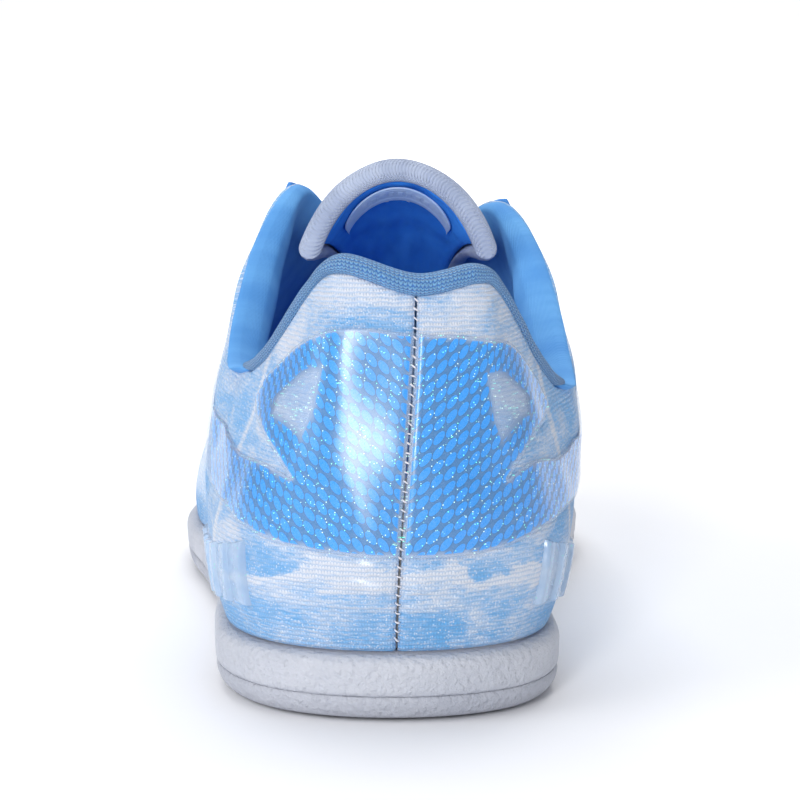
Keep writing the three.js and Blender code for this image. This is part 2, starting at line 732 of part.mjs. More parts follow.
// Crescent label on the lining near the tip.
function makeTongueLabel() {
  return faceOut(bentBox(8, 1, 1, (a, b, c) => {
    const q = labelReach * (2 * a - 1);
    const bow = 1 - Math.pow(2 * a - 1, 2);
    const p = labelPlace - labelDroop * (1 - bow) + (b - 0.5) * (0.012 + 0.05 * bow);
    return tonguePoint(p, q, tongueBack + layerGap + labelThickness * c);
  }));
}

addPiece("tongue_shell", makeTongueShell(), 0xdde2ee, 0.85);
addPiece("tongue_foam", makeTongueLayer(tongueFoamFace, tongueFoamFace + tonguePadding), 0xd8e4f2, 0.95);
addPiece("tongue_lining", makeTongueLayer(tongueLiningFace, tongueBack), 0x4a8ad4, 0.8);
addPiece("tongue_label", makeTongueLabel(), 0x9cc2ee, 0.4);

// The origin is the middle of the sole's contact height: bottom centre of the whole shoe's box.
const bounds = new THREE.Box3().setFromObject(shoe);
shoe.position.set(-(bounds.min.x + bounds.max.x) / 2, -(bounds.min.y + bounds.max.y) / 2, -bounds.min.z);

const part = new THREE.Group();
part.add(shoe);

export default part;
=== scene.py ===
import math
import bpy
import numpy as np
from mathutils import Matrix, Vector


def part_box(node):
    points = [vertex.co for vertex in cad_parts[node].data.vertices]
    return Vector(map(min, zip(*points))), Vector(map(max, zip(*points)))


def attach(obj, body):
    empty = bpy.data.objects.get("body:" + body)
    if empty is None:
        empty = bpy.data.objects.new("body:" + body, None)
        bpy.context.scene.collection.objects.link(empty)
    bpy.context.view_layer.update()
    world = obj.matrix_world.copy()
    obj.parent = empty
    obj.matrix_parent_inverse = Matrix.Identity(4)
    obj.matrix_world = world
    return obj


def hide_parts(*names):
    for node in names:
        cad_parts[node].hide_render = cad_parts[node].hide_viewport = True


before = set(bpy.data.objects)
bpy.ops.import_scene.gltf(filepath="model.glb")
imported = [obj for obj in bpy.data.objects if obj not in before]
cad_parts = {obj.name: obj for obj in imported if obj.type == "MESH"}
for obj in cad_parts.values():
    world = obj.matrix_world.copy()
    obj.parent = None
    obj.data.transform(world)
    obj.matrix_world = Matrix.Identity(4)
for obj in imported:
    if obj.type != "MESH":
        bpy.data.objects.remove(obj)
for stray in ("Cube", "Light", "Camera"):
    if stray in bpy.data.objects:
        bpy.data.objects.remove(bpy.data.objects[stray])
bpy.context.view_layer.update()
scene = bpy.context.scene
mm = 0.001
# Rough millimetres for one station round the shoe, and for the whole height of its wall.
stationWide, wallTall = 14.0, 72.0

cameraSettings = {"place": (0.0013, -0.8358, 0.1654), "azimuth": 0.18, "elevation": 8.27, "lens": 171.3}


# Camera low behind the heel, turned by azimuth about Z and tipped down by elevation.
def makeCamera():
    data = bpy.data.cameras.new("camera")
    data.sensor_width = 36
    data.lens = cameraSettings["lens"]
    data.dof.use_dof = False
    data.clip_start = 0.05
    data.clip_end = 20
    camera = bpy.data.objects.new("camera", data)
    camera.location = cameraSettings["place"]
    camera.rotation_euler = (
        math.radians(90 - cameraSettings["elevation"]), 0, -math.radians(cameraSettings["azimuth"]))
    scene.collection.objects.link(camera)
    scene.camera = camera


makeCamera()
print("camera made")

lastSizes = {
    "toeSpring": 6, "toeSpringStart": 186, "soleLength": 252.6, "outsole": 4.6, "midsoleHeel": 7.6,
    "midsoleForefoot": 5.4, "parting": 0.35, "seat": 0.35, "boardInset": 4.9,
}
# Stations round the shoe: foot x, foot y, top x, top y, top z, low rise, low swell, high drop, high swell.
heelStation = [0.5, 2, 4.3, 8, 85.3, 24, 8.5, 24, 1]
lateralStations = [
    [-13.5, 4.5, -10.3, 9, 89, 24, 8.5, 24, 1],
    [-25, 13, -16.7, 14, 82.6, 23, 8.5, 24, 2],
    [-32, 28, -24.2, 28, 69.5, 20, 8, 20, 3],
    [-33.8, 48, -30.4, 48, 62.2, 16, 7.5, 14, 5],
    [-34.2, 70, -34, 68, 64.2, 17, 7.5, 14, 4.5],
    [-35, 92, -30.4, 89, 81.3, 20, 6, 20, 5],
    [-37, 112, -22, 107, 94, 22, 5, 20, 9],
    [-40.5, 134, -14.5, 126, 84.5, 22, 4, 14, 12],
    [-44.8, 158, -12.5, 146, 72.5, 20, 4, 8, 14],
    [-45.5, 182, -11, 164, 62, 18, 4, 4, 14],
    [-41, 206, -8.5, 177, 56.5, 17, 4, 1, 14],
    [-31, 228, -5, 183, 54.3, 15, 3.5, 0, 14],
    [-15, 244, -2, 185, 53.6, 13, 3, 0, 16],
]
toeStation = [3, 250, 0.5, 185.5, 53.5, 13, 3, 0, 18]
medialStations = [
    [14, 5, 15.9, 10, 87, 24, 8.5, 24, 1],
    [24.5, 13.5, 20.4, 14.5, 83, 23, 8.5, 24, 2],
    [30, 28, 27.9, 30, 67.8, 20, 9, 20, 3],
    [30, 48, 34.6, 49, 58.6, 16, 8, 14, 4],
    [28, 70, 36.1, 70, 64.5, 17, 10, 14, 3.5],
    [27, 93, 31.6, 92, 81, 20, 11, 20, 6],
    [28.5, 114, 24, 108, 90.2, 22, 9, 20, 10.5],
    [33, 136, 15.5, 126, 84, 22, 8, 14, 15.5],
    [38.5, 160, 13.5, 146, 72.5, 20, 5, 8, 14],
    [41, 184, 12, 164, 62, 18, 4, 4, 14],
    [38.5, 208, 9.5, 177, 56.5, 17, 4, 1, 14],
    [31, 230, 6, 183, 54.3, 15, 3.5, 0, 14],
    [19, 245, 3, 185, 53.6, 13, 3, 0, 16],
]
stations = np.array([heelStation] + lateralStations + [toeStation] + medialStations[::-1], float)
stationCount = len(stations)
toeU = stationCount / 2
# Where the last's heel point stands in the frame: its depth comes from the board's rear edge.
lastOrigin = np.array([2.4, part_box("strobel_board")[0].y / mm - 2 - lastSizes["boardInset"], 0.0])


# Smooth step from 0 at a to 1 at b.
def ease(a, b, x):
    t = np.clip((np.asarray(x, float) - a) / (b - a), 0, 1)
    return t * t * (3 - 2 * t)


# A bump of height 1 at the centre, falling off as a bell of the given width.
def bell(x, centre, width):
    return np.exp(-((np.asarray(x, float) - centre) / width) ** 2)


# Ground line: flat, then a parabola up to the toe.
def groundLine(y):
    start = lastSizes["toeSpringStart"]
    t = np.maximum((y - start) / (lastSizes["soleLength"] - start), 0)
    return lastSizes["toeSpring"] * t * t


# Parting line: the ground line raised by the outsole.
def outsoleTop(y):
    return groundLine(y) + lastSizes["outsole"]


# Top of the midsole, thinning by a smooth step from heel to forefoot.
def midsoleTop(y):
    heel, forefoot = lastSizes["midsoleHeel"], lastSizes["midsoleForefoot"]
    thickness = heel + (forefoot - heel) * ease(70, 190, y)
    return outsoleTop(y) + lastSizes["parting"] + thickness


footPoints = np.stack([stations[:, 0], stations[:, 1], midsoleTop(stations[:, 1]) + lastSizes["seat"]], 1)
around = np.roll(footPoints, -1, 0) - np.roll(footPoints, 1, 0)
outward = np.stack([-around[:, 1], around[:, 0], 0 * around[:, 0]], 1)
outward /= np.linalg.norm(outward, axis=1)[:, None]
soleHeight = lastSizes["outsole"] + lastSizes["parting"] + lastSizes["midsoleHeel"] + lastSizes["seat"]
topPoints = np.stack([stations[:, 2], stations[:, 3], soleHeight + stations[:, 4] - 13], 1)
upwards = np.array([[0, 0, 1.0]])
lowPoints = footPoints + outward * stations[:, 6:7] + upwards * stations[:, 5:6]
highPoints = topPoints + outward * stations[:, 8:9] - upwards * stations[:, 7:8]


# Closed Catmull-Rom spline through the stations, at station number u.
def closedSpline(points, u):
    u = np.asarray(u, float)
    k = np.floor(u).astype(int)
    t = (u - k)[..., None]
    before, here, there, beyond = [points[(k + i) % stationCount] for i in (-1, 0, 1, 2)]
    slopeA = (there - before) / 2
    slopeB = (beyond - here) / 2
    cubic = 2 * here - 2 * there + slopeA + slopeB
    square = -3 * here + 3 * there - 2 * slopeA - slopeB
    return cubic * t ** 3 + square * t ** 2 + slopeA * t + here


# Point of the upper: a Bezier curve from the feather line (v = 0) to the top line (v = 1) at station u.
def lastPoint(u, v):
    u, v = np.broadcast_arrays(np.asarray(u, float), np.asarray(v, float))
    v = v[..., None]
    w = 1 - v
    return (closedSpline(footPoints, u) * w ** 3 + closedSpline(lowPoints, u) * 3 * w * w * v
            + closedSpline(highPoints, u) * 3 * w * v * v + closedSpline(topPoints, u) * v ** 3)


# The same point moved off the surface along its outward normal, the cross product of the two slopes.
def upperPoint(u, v, offset):
    u, v, offset = np.broadcast_arrays(*[np.asarray(a, float) for a in (u, v, offset)])
    step = 0.01
    acrossU = lastPoint(u + step, v) - lastPoint(u - step, v)
    acrossV = lastPoint(u, np.minimum(v + step, 1)) - lastPoint(u, np.maximum(v - step, 0))
    normal = np.cross(acrossV, acrossU)
    normal /= np.linalg.norm(normal, axis=-1)[..., None]
    return lastPoint(u, v) + normal * offset[..., None]


# Lengths over the surface, tabled once: wall height at each station, and distance from the heel seam.
tableU = np.linspace(-toeU, stationCount, 1681)
tableV = np.linspace(0, 1, 13)
tableGrid = lastPoint(tableU[:, None], tableV[None, :])
wallTable = np.linalg.norm(np.diff(tableGrid, axis=1), axis=2).sum(1)
girthSteps = np.linalg.norm(np.diff(lastPoint(tableU, 0.45), axis=0), axis=1)
girthTable = np.concatenate([[0], np.cumsum(girthSteps)])
girthTable -= np.interp(0, tableU, girthTable)


# Height of the wall at station u, read from the table.
def wallLength(u):
    return np.interp(u, tableU, wallTable)


# Distance round the shoe from the heel seam, read from the table.
def girth(u):
    return np.interp(u, tableU, girthTable)


# Soft pseudo-noise, a sum of sine waves in random directions, between about -1 and 1.
def ripple(x, y, size, seed, count=7):
    rng = np.random.RandomState(seed)
    total = 0 * x
    for _ in range(count):
        angle = rng.uniform(0, 2 * math.pi)
        pace = rng.uniform(0.6, 1.7) * 2 * math.pi / size
        total = total + np.sin((x * math.cos(angle) + y * math.sin(angle)) * pace + rng.uniform(0, 6.3))
    return total / count ** 0.5 / 1.4


# Writes a UV map that gives each vertex one value: a face's corner takes that of its vertex.
def writeMap(mesh, label, values):
    corner = np.empty(len(mesh.loops), int)
    mesh.loops.foreach_get("vertex_index", corner)
    mesh.uv_layers.new(name=label).data.foreach_set("uv", values[corner].ravel())


# A mesh object from points in millimetres of the last, moved to the frame and turned faces out.
# The sum over all quads of the fan volumes tells whether they face out. A quad whose last two corners agree
# is a triangle.
def makeObject(name, points, quads, material, uvSets=(), closed=True):
    points = (np.asarray(points, float).reshape(-1, 3) + lastOrigin) * mm
    fan = points[quads]
    volume = sum(np.einsum("ij,ij->", fan[:, 0], np.cross(fan[:, k], fan[:, k + 1])) for k in (1, 2))
    triangle = quads[:, 2] == quads[:, 3]
    faces = [face[:3] if short else face for face, short in zip(quads.tolist(), triangle)]
    if closed and volume < 0:
        faces = [face[::-1] for face in faces]
    mesh = bpy.data.meshes.new(name)
    mesh.from_pydata(points.tolist(), [], faces)
    for label, values in uvSets:
        writeMap(mesh, label, np.asarray(values, float).reshape(-1, 2))
    mesh.polygons.foreach_set("use_smooth", np.ones(len(mesh.polygons), bool))
    mesh.materials.append(material)
    mesh.update()
    piece = bpy.data.objects.new(name, mesh)
    scene.collection.objects.link(piece)
    return piece


# Quads of a grid of rows by columns of points.
def gridFaces(rows, columns, closeColumns=False):
    i = np.arange(rows - 1)[:, None]
    k = np.arange(columns if closeColumns else columns - 1)[None, :]
    after = (k + 1) % columns
    return np.stack([i * columns + k, (i + 1) * columns + k, (i + 1) * columns + after,
                     i * columns + after], -1).reshape(-1, 4)


# Quads that close a loop of points by ladder rungs between its two halves.
def ladderFaces(first, count):
    k = np.arange(count // 2 - 1)
    return np.stack([first + k, first + k + 1, first + count - 2 - k, first + count - 1 - k], -1)


# Closes a loft of loops: side quads, and a ladder at each end.
def loftFaces(rows, columns):
    return np.concatenate([
        gridFaces(rows, columns, True), ladderFaces(0, columns),
        ladderFaces((rows - 1) * columns, columns)[:, ::-1]])


# A layer of the upper: a sheet between two faces whose edges are rounded by half its thickness.
def makeLayer(name, material, us, low, high, outer, inner, rows=60, edge=None):
    us = np.asarray(us, float)[:, None]
    spread = (1 - np.cos(np.linspace(0, math.pi, rows))) / 2
    share = 0.35 * spread + 0.65 * np.linspace(0, 1, rows)
    v = low(us) + (high(us) - low(us)) * share[None, :]
    length = wallLength(us)
    reach = np.minimum(v - low(us), high(us) - v) * length
    top, bottom = outer(us, v), inner(us, v)
    radius = (top - bottom) / 2 if edge is None else np.minimum((top - bottom) / 2, edge)
    rounding = np.sqrt(np.clip(1 - (1 - np.clip(reach / radius, 0, 1)) ** 2, 0, 1))
    rounding = 0.04 + 0.96 * rounding
    middle = (top + bottom) / 2
    half = (top - bottom) / 2 * rounding
    sectionV = np.concatenate([v, v[:, ::-1]], 1)
    sectionOffset = np.concatenate([middle + half, (middle - half)[:, ::-1]], 1)
    u = np.broadcast_to(us, sectionV.shape)
    points = upperPoint(u, sectionV, sectionOffset)
    cloth = np.stack([girth(u), points[..., 2]], -1) * mm
    place = np.stack([u, sectionV], -1)
    return makeObject(name, points, loftFaces(*sectionV.shape), material,
                      [("cloth", cloth), ("station", place)])


# A solid under the shoe: closed loops of the sole outline, with a ladder grid over each end.
def makeSlab(name, material, insets, heights, across=24, around=480, relief=None):
    u = np.arange(around) * stationCount / around
    foot = closedSpline(footPoints, u)
    out = closedSpline(outward, u)
    out /= np.linalg.norm(out, axis=1)[:, None]
    loops = []
    for inset, height in zip(insets, heights):
        loop = foot - out * inset
        loop[:, 2] = height(loop[:, 1])
        loops.append(loop)
    points = np.stack(loops)
    faces = [gridFaces(len(loops), around, True)]
    shares = np.linspace(0, 1, across + 1)[1:-1][None, :, None]
    half = around // 2
    parts = [points.reshape(-1, 3)]
    for ringIndex, flip in ((0, False), (len(loops) - 1, True)):
        ring = points[ringIndex]
        left = ring[1:half]
        right = ring[:half:-1]
        inside = left[:, None] * (1 - shares) + right[:, None] * shares
        inside[..., 2] = heights[ringIndex](inside[..., 1])
        if relief is not None and ringIndex == 0:
            inside[..., 2] += relief(inside[..., 0], inside[..., 1])
        start = sum(len(p) for p in parts)
        inner = start + np.arange(inside.shape[0] * inside.shape[1]).reshape(inside.shape[:2])
        ringStart = ringIndex * around
        leftIndex = ringStart + np.arange(1, half)
        rightIndex = ringStart + np.arange(around - 1, half, -1)
        table = np.concatenate([leftIndex[:, None], inner, rightIndex[:, None]], 1)
        quads = np.stack([table[:-1, :-1], table[1:, :-1], table[1:, 1:], table[:-1, 1:]], -1).reshape(-1, 4)
        heel, toe = ringStart, ringStart + half
        heelFan = np.stack([np.full(across, heel), table[0, :-1], table[0, 1:], table[0, 1:]], -1)
        toeFan = np.stack([np.full(across, toe), table[-1, 1:], table[-1, :-1], table[-1, :-1]], -1)
        for block in (quads, heelFan, toeFan):
            faces.append(block[:, ::-1] if flip else block)
        parts.append(inside.reshape(-1, 3))
    return makeObject(name, np.concatenate(parts), np.concatenate(faces), material)


# A round tube along a path of points, by frames carried along it, with closed ends.
def tubePoints(path, radius, sides):
    tangent = np.gradient(path, axis=0)
    tangent /= np.linalg.norm(tangent, axis=1)[:, None]
    side = np.cross(tangent, np.array([0.31, 0.17, 0.93]))
    side /= np.linalg.norm(side, axis=1)[:, None]
    other = np.cross(tangent, side)
    angle = np.arange(sides) * 2 * math.pi / sides
    ring = side[:, None] * np.cos(angle)[None, :, None] + other[:, None] * np.sin(angle)[None, :, None]
    return path[:, None] + ring * np.broadcast_to(radius, (len(path),))[:, None, None]


# Fills a node's inputs, each by a link from a socket or by a plain value.
def fillInputs(tree, node, inputs):
    for key, value in inputs.items():
        if isinstance(value, bpy.types.NodeSocket):
            tree.links.new(value, node.inputs[key])
        else:
            node.inputs[key].default_value = value


# Adds a node with its settings and inputs.
def addNode(tree, kind, inputs=None, **settings):
    made = tree.nodes.new(kind)
    for key, value in settings.items():
        setattr(made, key, value)
    fillInputs(tree, made, inputs or {})
    return made


# One arithmetic step, so that formulas read as nested calls.
def calc(tree, operation, *values, clamp=False):
    made = addNode(tree, "ShaderNodeMath", dict(enumerate(values)), operation=operation)
    made.use_clamp = clamp
    return made.outputs[0]


# Smooth step from 0 at low to 1 at high.
def smoothStep(tree, value, low, high):
    made = addNode(tree, "ShaderNodeMapRange", {"Value": value, "From Min": low, "From Max": high},
                   interpolation_type="SMOOTHSTEP")
    return made.outputs["Result"]


# Straight blend from the first colour to the second.
def mixColour(tree, factor, first, second):
    made = addNode(tree, "ShaderNodeMix", {"Factor": factor, 6: first, 7: second}, data_type="RGBA")
    return made.outputs[2]


# Straight blend from the first number to the second.
def mixValue(tree, factor, first, second):
    made = addNode(tree, "ShaderNodeMix", {"Factor": factor, 2: first, 3: second}, data_type="FLOAT")
    return made.outputs[0]


# A new node group: a Place vector and numbers with their defaults go in, numbers come out.
def newGroup(name, numbers, results):
    tree = bpy.data.node_groups.new(name, "ShaderNodeTree")
    tree.interface.new_socket("Place", in_out="INPUT", socket_type="NodeSocketVector")
    for label, value in numbers.items():
        socket = tree.interface.new_socket(label, in_out="INPUT", socket_type="NodeSocketFloat")
        socket.default_value = value
    for label in results:
        tree.interface.new_socket(label, in_out="OUTPUT", socket_type="NodeSocketFloat")
    entry = tree.nodes.new("NodeGroupInput")
    leave = tree.nodes.new("NodeGroupOutput")
    return tree, entry.outputs, leave.inputs


# Places a group in a tree with its own values, and gives its outputs.
def useGroup(tree, group, inputs):
    made = tree.nodes.new("ShaderNodeGroup")
    made.node_tree = group
    fillInputs(tree, made, inputs)
    return made.outputs


# A material with its Principled node, ready for links.
def newMaterial(name, roughness):
    material = bpy.data.materials.new(name)
    material.use_nodes = True
    tree = material.node_tree
    shader = tree.nodes["Principled BSDF"]
    shader.inputs["Roughness"].default_value = roughness
    return material, tree, shader


# Object coordinates times a scale.
def objectPlace(tree, scale):
    place = addNode(tree, "ShaderNodeTexCoord").outputs["Object"]
    return addNode(tree, "ShaderNodeVectorMath", {0: place, "Scale": scale}, operation="SCALE").outputs[0]


# A UV map's coordinates times a scale.
def uvPlace(tree, name, scale=1.0):
    place = addNode(tree, "ShaderNodeUVMap", uv_map=name).outputs["UV"]
    return addNode(tree, "ShaderNodeVectorMath", {0: place, "Scale": scale}, operation="SCALE").outputs[0]


# The three parts of a vector.
def splitVector(tree, vector):
    return addNode(tree, "ShaderNodeSeparateXYZ", {0: vector}).outputs


# A vector from its parts.
def joinVector(tree, x, y, z=0.0):
    return addNode(tree, "ShaderNodeCombineXYZ", {0: x, 1: y, 2: z}).outputs[0]


# A normal tilted by the slope of a height.
def bump(tree, height, distance, strength=1.0):
    inputs = {"Height": height, "Distance": distance, "Strength": strength}
    return addNode(tree, "ShaderNodeBump", inputs).outputs["Normal"]


# Knitted loops: columns of V shapes. Height is |sin| across a column times a wave along it,
# pushed up and down by the distance from the column's middle.
def makeKnitGroup():
    tree, given, out = newGroup("knitLoops", {"Column": 0.8, "Row": 0.8, "Slant": 0.5}, ["Height", "Gap"])
    x, y = splitVector(tree, given["Place"])[0:2]
    noise = addNode(tree, "ShaderNodeTexNoise", {"Vector": given["Place"], "Scale": 0.35, "Detail": 2.0})
    drift = calc(tree, "MULTIPLY", calc(tree, "SUBTRACT", noise.outputs[0], 0.5), 0.9)
    column = calc(tree, "DIVIDE", calc(tree, "ADD", x, drift), given["Column"])
    row = calc(tree, "DIVIDE", calc(tree, "ADD", y, drift), given["Row"])
    inColumn = calc(tree, "ABSOLUTE", calc(tree, "SUBTRACT", calc(tree, "FRACT", column), 0.5))
    lean = calc(tree, "MULTIPLY", inColumn, given["Slant"])
    wave = calc(tree, "SINE", calc(tree, "MULTIPLY", calc(tree, "ADD", row, lean), 2 * math.pi))
    loop = calc(tree, "ADD", calc(tree, "MULTIPLY", wave, 0.5), 0.5)
    bulge = calc(tree, "SUBTRACT", 1.0, calc(tree, "POWER", calc(tree, "MULTIPLY", inColumn, 2.0), 3.0))
    height = calc(tree, "MULTIPLY", loop, bulge)
    tree.links.new(height, out["Height"])
    tree.links.new(calc(tree, "SUBTRACT", 1.0, smoothStep(tree, height, 0.05, 0.4)), out["Gap"])
    return tree


# Glitter flakes: the cells of a fine Voronoi pattern, a few of which shine.
def makeGlitterGroup():
    tree, given, out = newGroup("glitter", {"Size": 0.3, "Share": 0.05}, ["Spark", "Facet", "Tint"])
    scale = calc(tree, "DIVIDE", 1.0, given["Size"])
    cells = addNode(tree, "ShaderNodeTexVoronoi", {"Vector": given["Place"], "Scale": scale})
    pick = splitVector(tree, cells.outputs["Color"])
    chosen = calc(tree, "LESS_THAN", pick[0], given["Share"])
    near = calc(tree, "LESS_THAN", cells.outputs["Distance"], 0.42)
    tree.links.new(calc(tree, "MULTIPLY", chosen, near), out["Spark"])
    tree.links.new(pick[1], out["Facet"])
    tree.links.new(pick[2], out["Tint"])
    return tree


# Slanted ellipses in staggered columns. Mask is 1 inside the ellipse of the cell that a point falls in.
def makeScaleGroup():
    sizes = {"Column": 2.45, "Row": 2.65, "Long": 1.62, "Short": 0.77, "Lean": 0.88}
    tree, given, out = newGroup("ellipseScales", sizes, ["Mask", "Rim"])
    x, y = splitVector(tree, given["Place"])[0:2]
    column = calc(tree, "DIVIDE", x, given["Column"])
    odd = calc(tree, "MODULO", calc(tree, "FLOOR", column), 2.0)
    row = calc(tree, "ADD", calc(tree, "DIVIDE", y, given["Row"]), calc(tree, "MULTIPLY", odd, 0.5))
    dx = calc(tree, "MULTIPLY", calc(tree, "SUBTRACT", calc(tree, "FRACT", column), 0.5), given["Column"])
    dy = calc(tree, "MULTIPLY", calc(tree, "SUBTRACT", calc(tree, "FRACT", row), 0.5), given["Row"])
    cosine = calc(tree, "COSINE", given["Lean"])
    sine = calc(tree, "SINE", given["Lean"])
    lengthwise = calc(tree, "ADD", calc(tree, "MULTIPLY", dx, cosine), calc(tree, "MULTIPLY", dy, sine))
    sideways = calc(tree, "SUBTRACT", calc(tree, "MULTIPLY", dy, cosine), calc(tree, "MULTIPLY", dx, sine))
    a = calc(tree, "POWER", calc(tree, "ABSOLUTE", calc(tree, "DIVIDE", lengthwise, given["Long"])), 2.0)
    b = calc(tree, "POWER", calc(tree, "ABSOLUTE", calc(tree, "DIVIDE", sideways, given["Short"])), 2.0)
    radius = calc(tree, "ADD", a, b)
    mask = calc(tree, "SUBTRACT", 1.0, smoothStep(tree, radius, 0.86, 1.0))
    tree.links.new(mask, out["Mask"])
    ring = calc(tree, "SUBTRACT", smoothStep(tree, radius, 0.86, 1.0), smoothStep(tree, radius, 1.0, 1.5))
    tree.links.new(ring, out["Rim"])
    return tree


# Pebbled grain: small rounded cells with veins between them, and a slow swell.
def makeGrainGroup():
    tree, given, out = newGroup("grain", {"Size": 0.7}, ["Height", "Wear"])
    scale = calc(tree, "DIVIDE", 1.0, given["Size"])
    warp = addNode(tree, "ShaderNodeTexNoise", {"Vector": given["Place"], "Scale": 0.9, "Detail": 3.0})
    moved = addNode(tree, "ShaderNodeVectorMath", {0: given["Place"], 1: warp.outputs["Color"]},
                    operation="ADD")
    cells = addNode(tree, "ShaderNodeTexVoronoi", {"Vector": moved.outputs[0], "Scale": scale},
                    feature="SMOOTH_F1")
    fine = addNode(tree, "ShaderNodeTexNoise", {"Vector": given["Place"], "Scale": 2.4, "Detail": 4.0})
    height = calc(tree, "SUBTRACT", calc(tree, "MULTIPLY", fine.outputs[0], 0.6), cells.outputs["Distance"])
    tree.links.new(height, out["Height"])
    slow = addNode(tree, "ShaderNodeTexNoise", {"Vector": given["Place"], "Scale": 0.06, "Detail": 4.0})
    tree.links.new(smoothStep(tree, slow.outputs[0], 0.35, 0.7), out["Wear"])
    return tree


# Fine twill: diagonal ribs crossed by threads, with a brushed mottle.
def makeTwillGroup():
    tree, given, out = newGroup("twill", {"Pitch": 0.45}, ["Height", "Mottle"])
    x, y = splitVector(tree, given["Place"])[0:2]
    turn = calc(tree, "DIVIDE", 2 * math.pi, given["Pitch"])
    rib = calc(tree, "SINE", calc(tree, "MULTIPLY", calc(tree, "ADD", x, y), turn))
    thread = calc(tree, "SINE", calc(tree, "MULTIPLY", calc(tree, "SUBTRACT", x, y), turn))
    height = calc(tree, "ADD", calc(tree, "MULTIPLY", rib, 0.35), calc(tree, "MULTIPLY", thread, 0.15))
    fuzz = addNode(tree, "ShaderNodeTexNoise", {"Vector": given["Place"], "Scale": 2.2, "Detail": 4.0})
    tree.links.new(calc(tree, "ADD", height, fuzz.outputs[0]), out["Height"])
    slow = addNode(tree, "ShaderNodeTexNoise", {"Vector": given["Place"], "Scale": 0.12, "Detail": 5.0})
    tree.links.new(slow.outputs[0], out["Mottle"])
    return tree


knitGroup = makeKnitGroup()
glitterGroup = makeGlitterGroup()
scaleGroup = makeScaleGroup()
grainGroup = makeGrainGroup()
twillGroup = makeTwillGroup()
print("shared effects made")


# Linear colour from 0 to 255 display values.
def colour(red, green, blue):
    channels = [c / 255 for c in (red, green, blue)]
    linear = [c / 12.92 if c <= 0.04045 else ((c + 0.055) / 1.055) ** 2.4 for c in channels]
    return (*linear, 1.0)


# Sole rubber: pebbled grain, faint dirt in the low places.
def makeSoleMaterial(name, base, shade, depth):
    material, tree, shader = newMaterial(name, 0.5)
    grain = useGroup(tree, grainGroup, {"Place": objectPlace(tree, 1000), "Size": 1.15})
    tone = calc(tree, "MULTIPLY", grain["Wear"], 0.5)
    tree.links.new(mixColour(tree, tone, base, shade), shader.inputs["Base Color"])
    tree.links.new(mixValue(tree, grain["Wear"], 0.42, 0.55), shader.inputs["Roughness"])
    tree.links.new(bump(tree, grain["Height"], depth), shader.inputs["Normal"])
    shader.inputs["Specular IOR Level"].default_value = 0.4
    return material


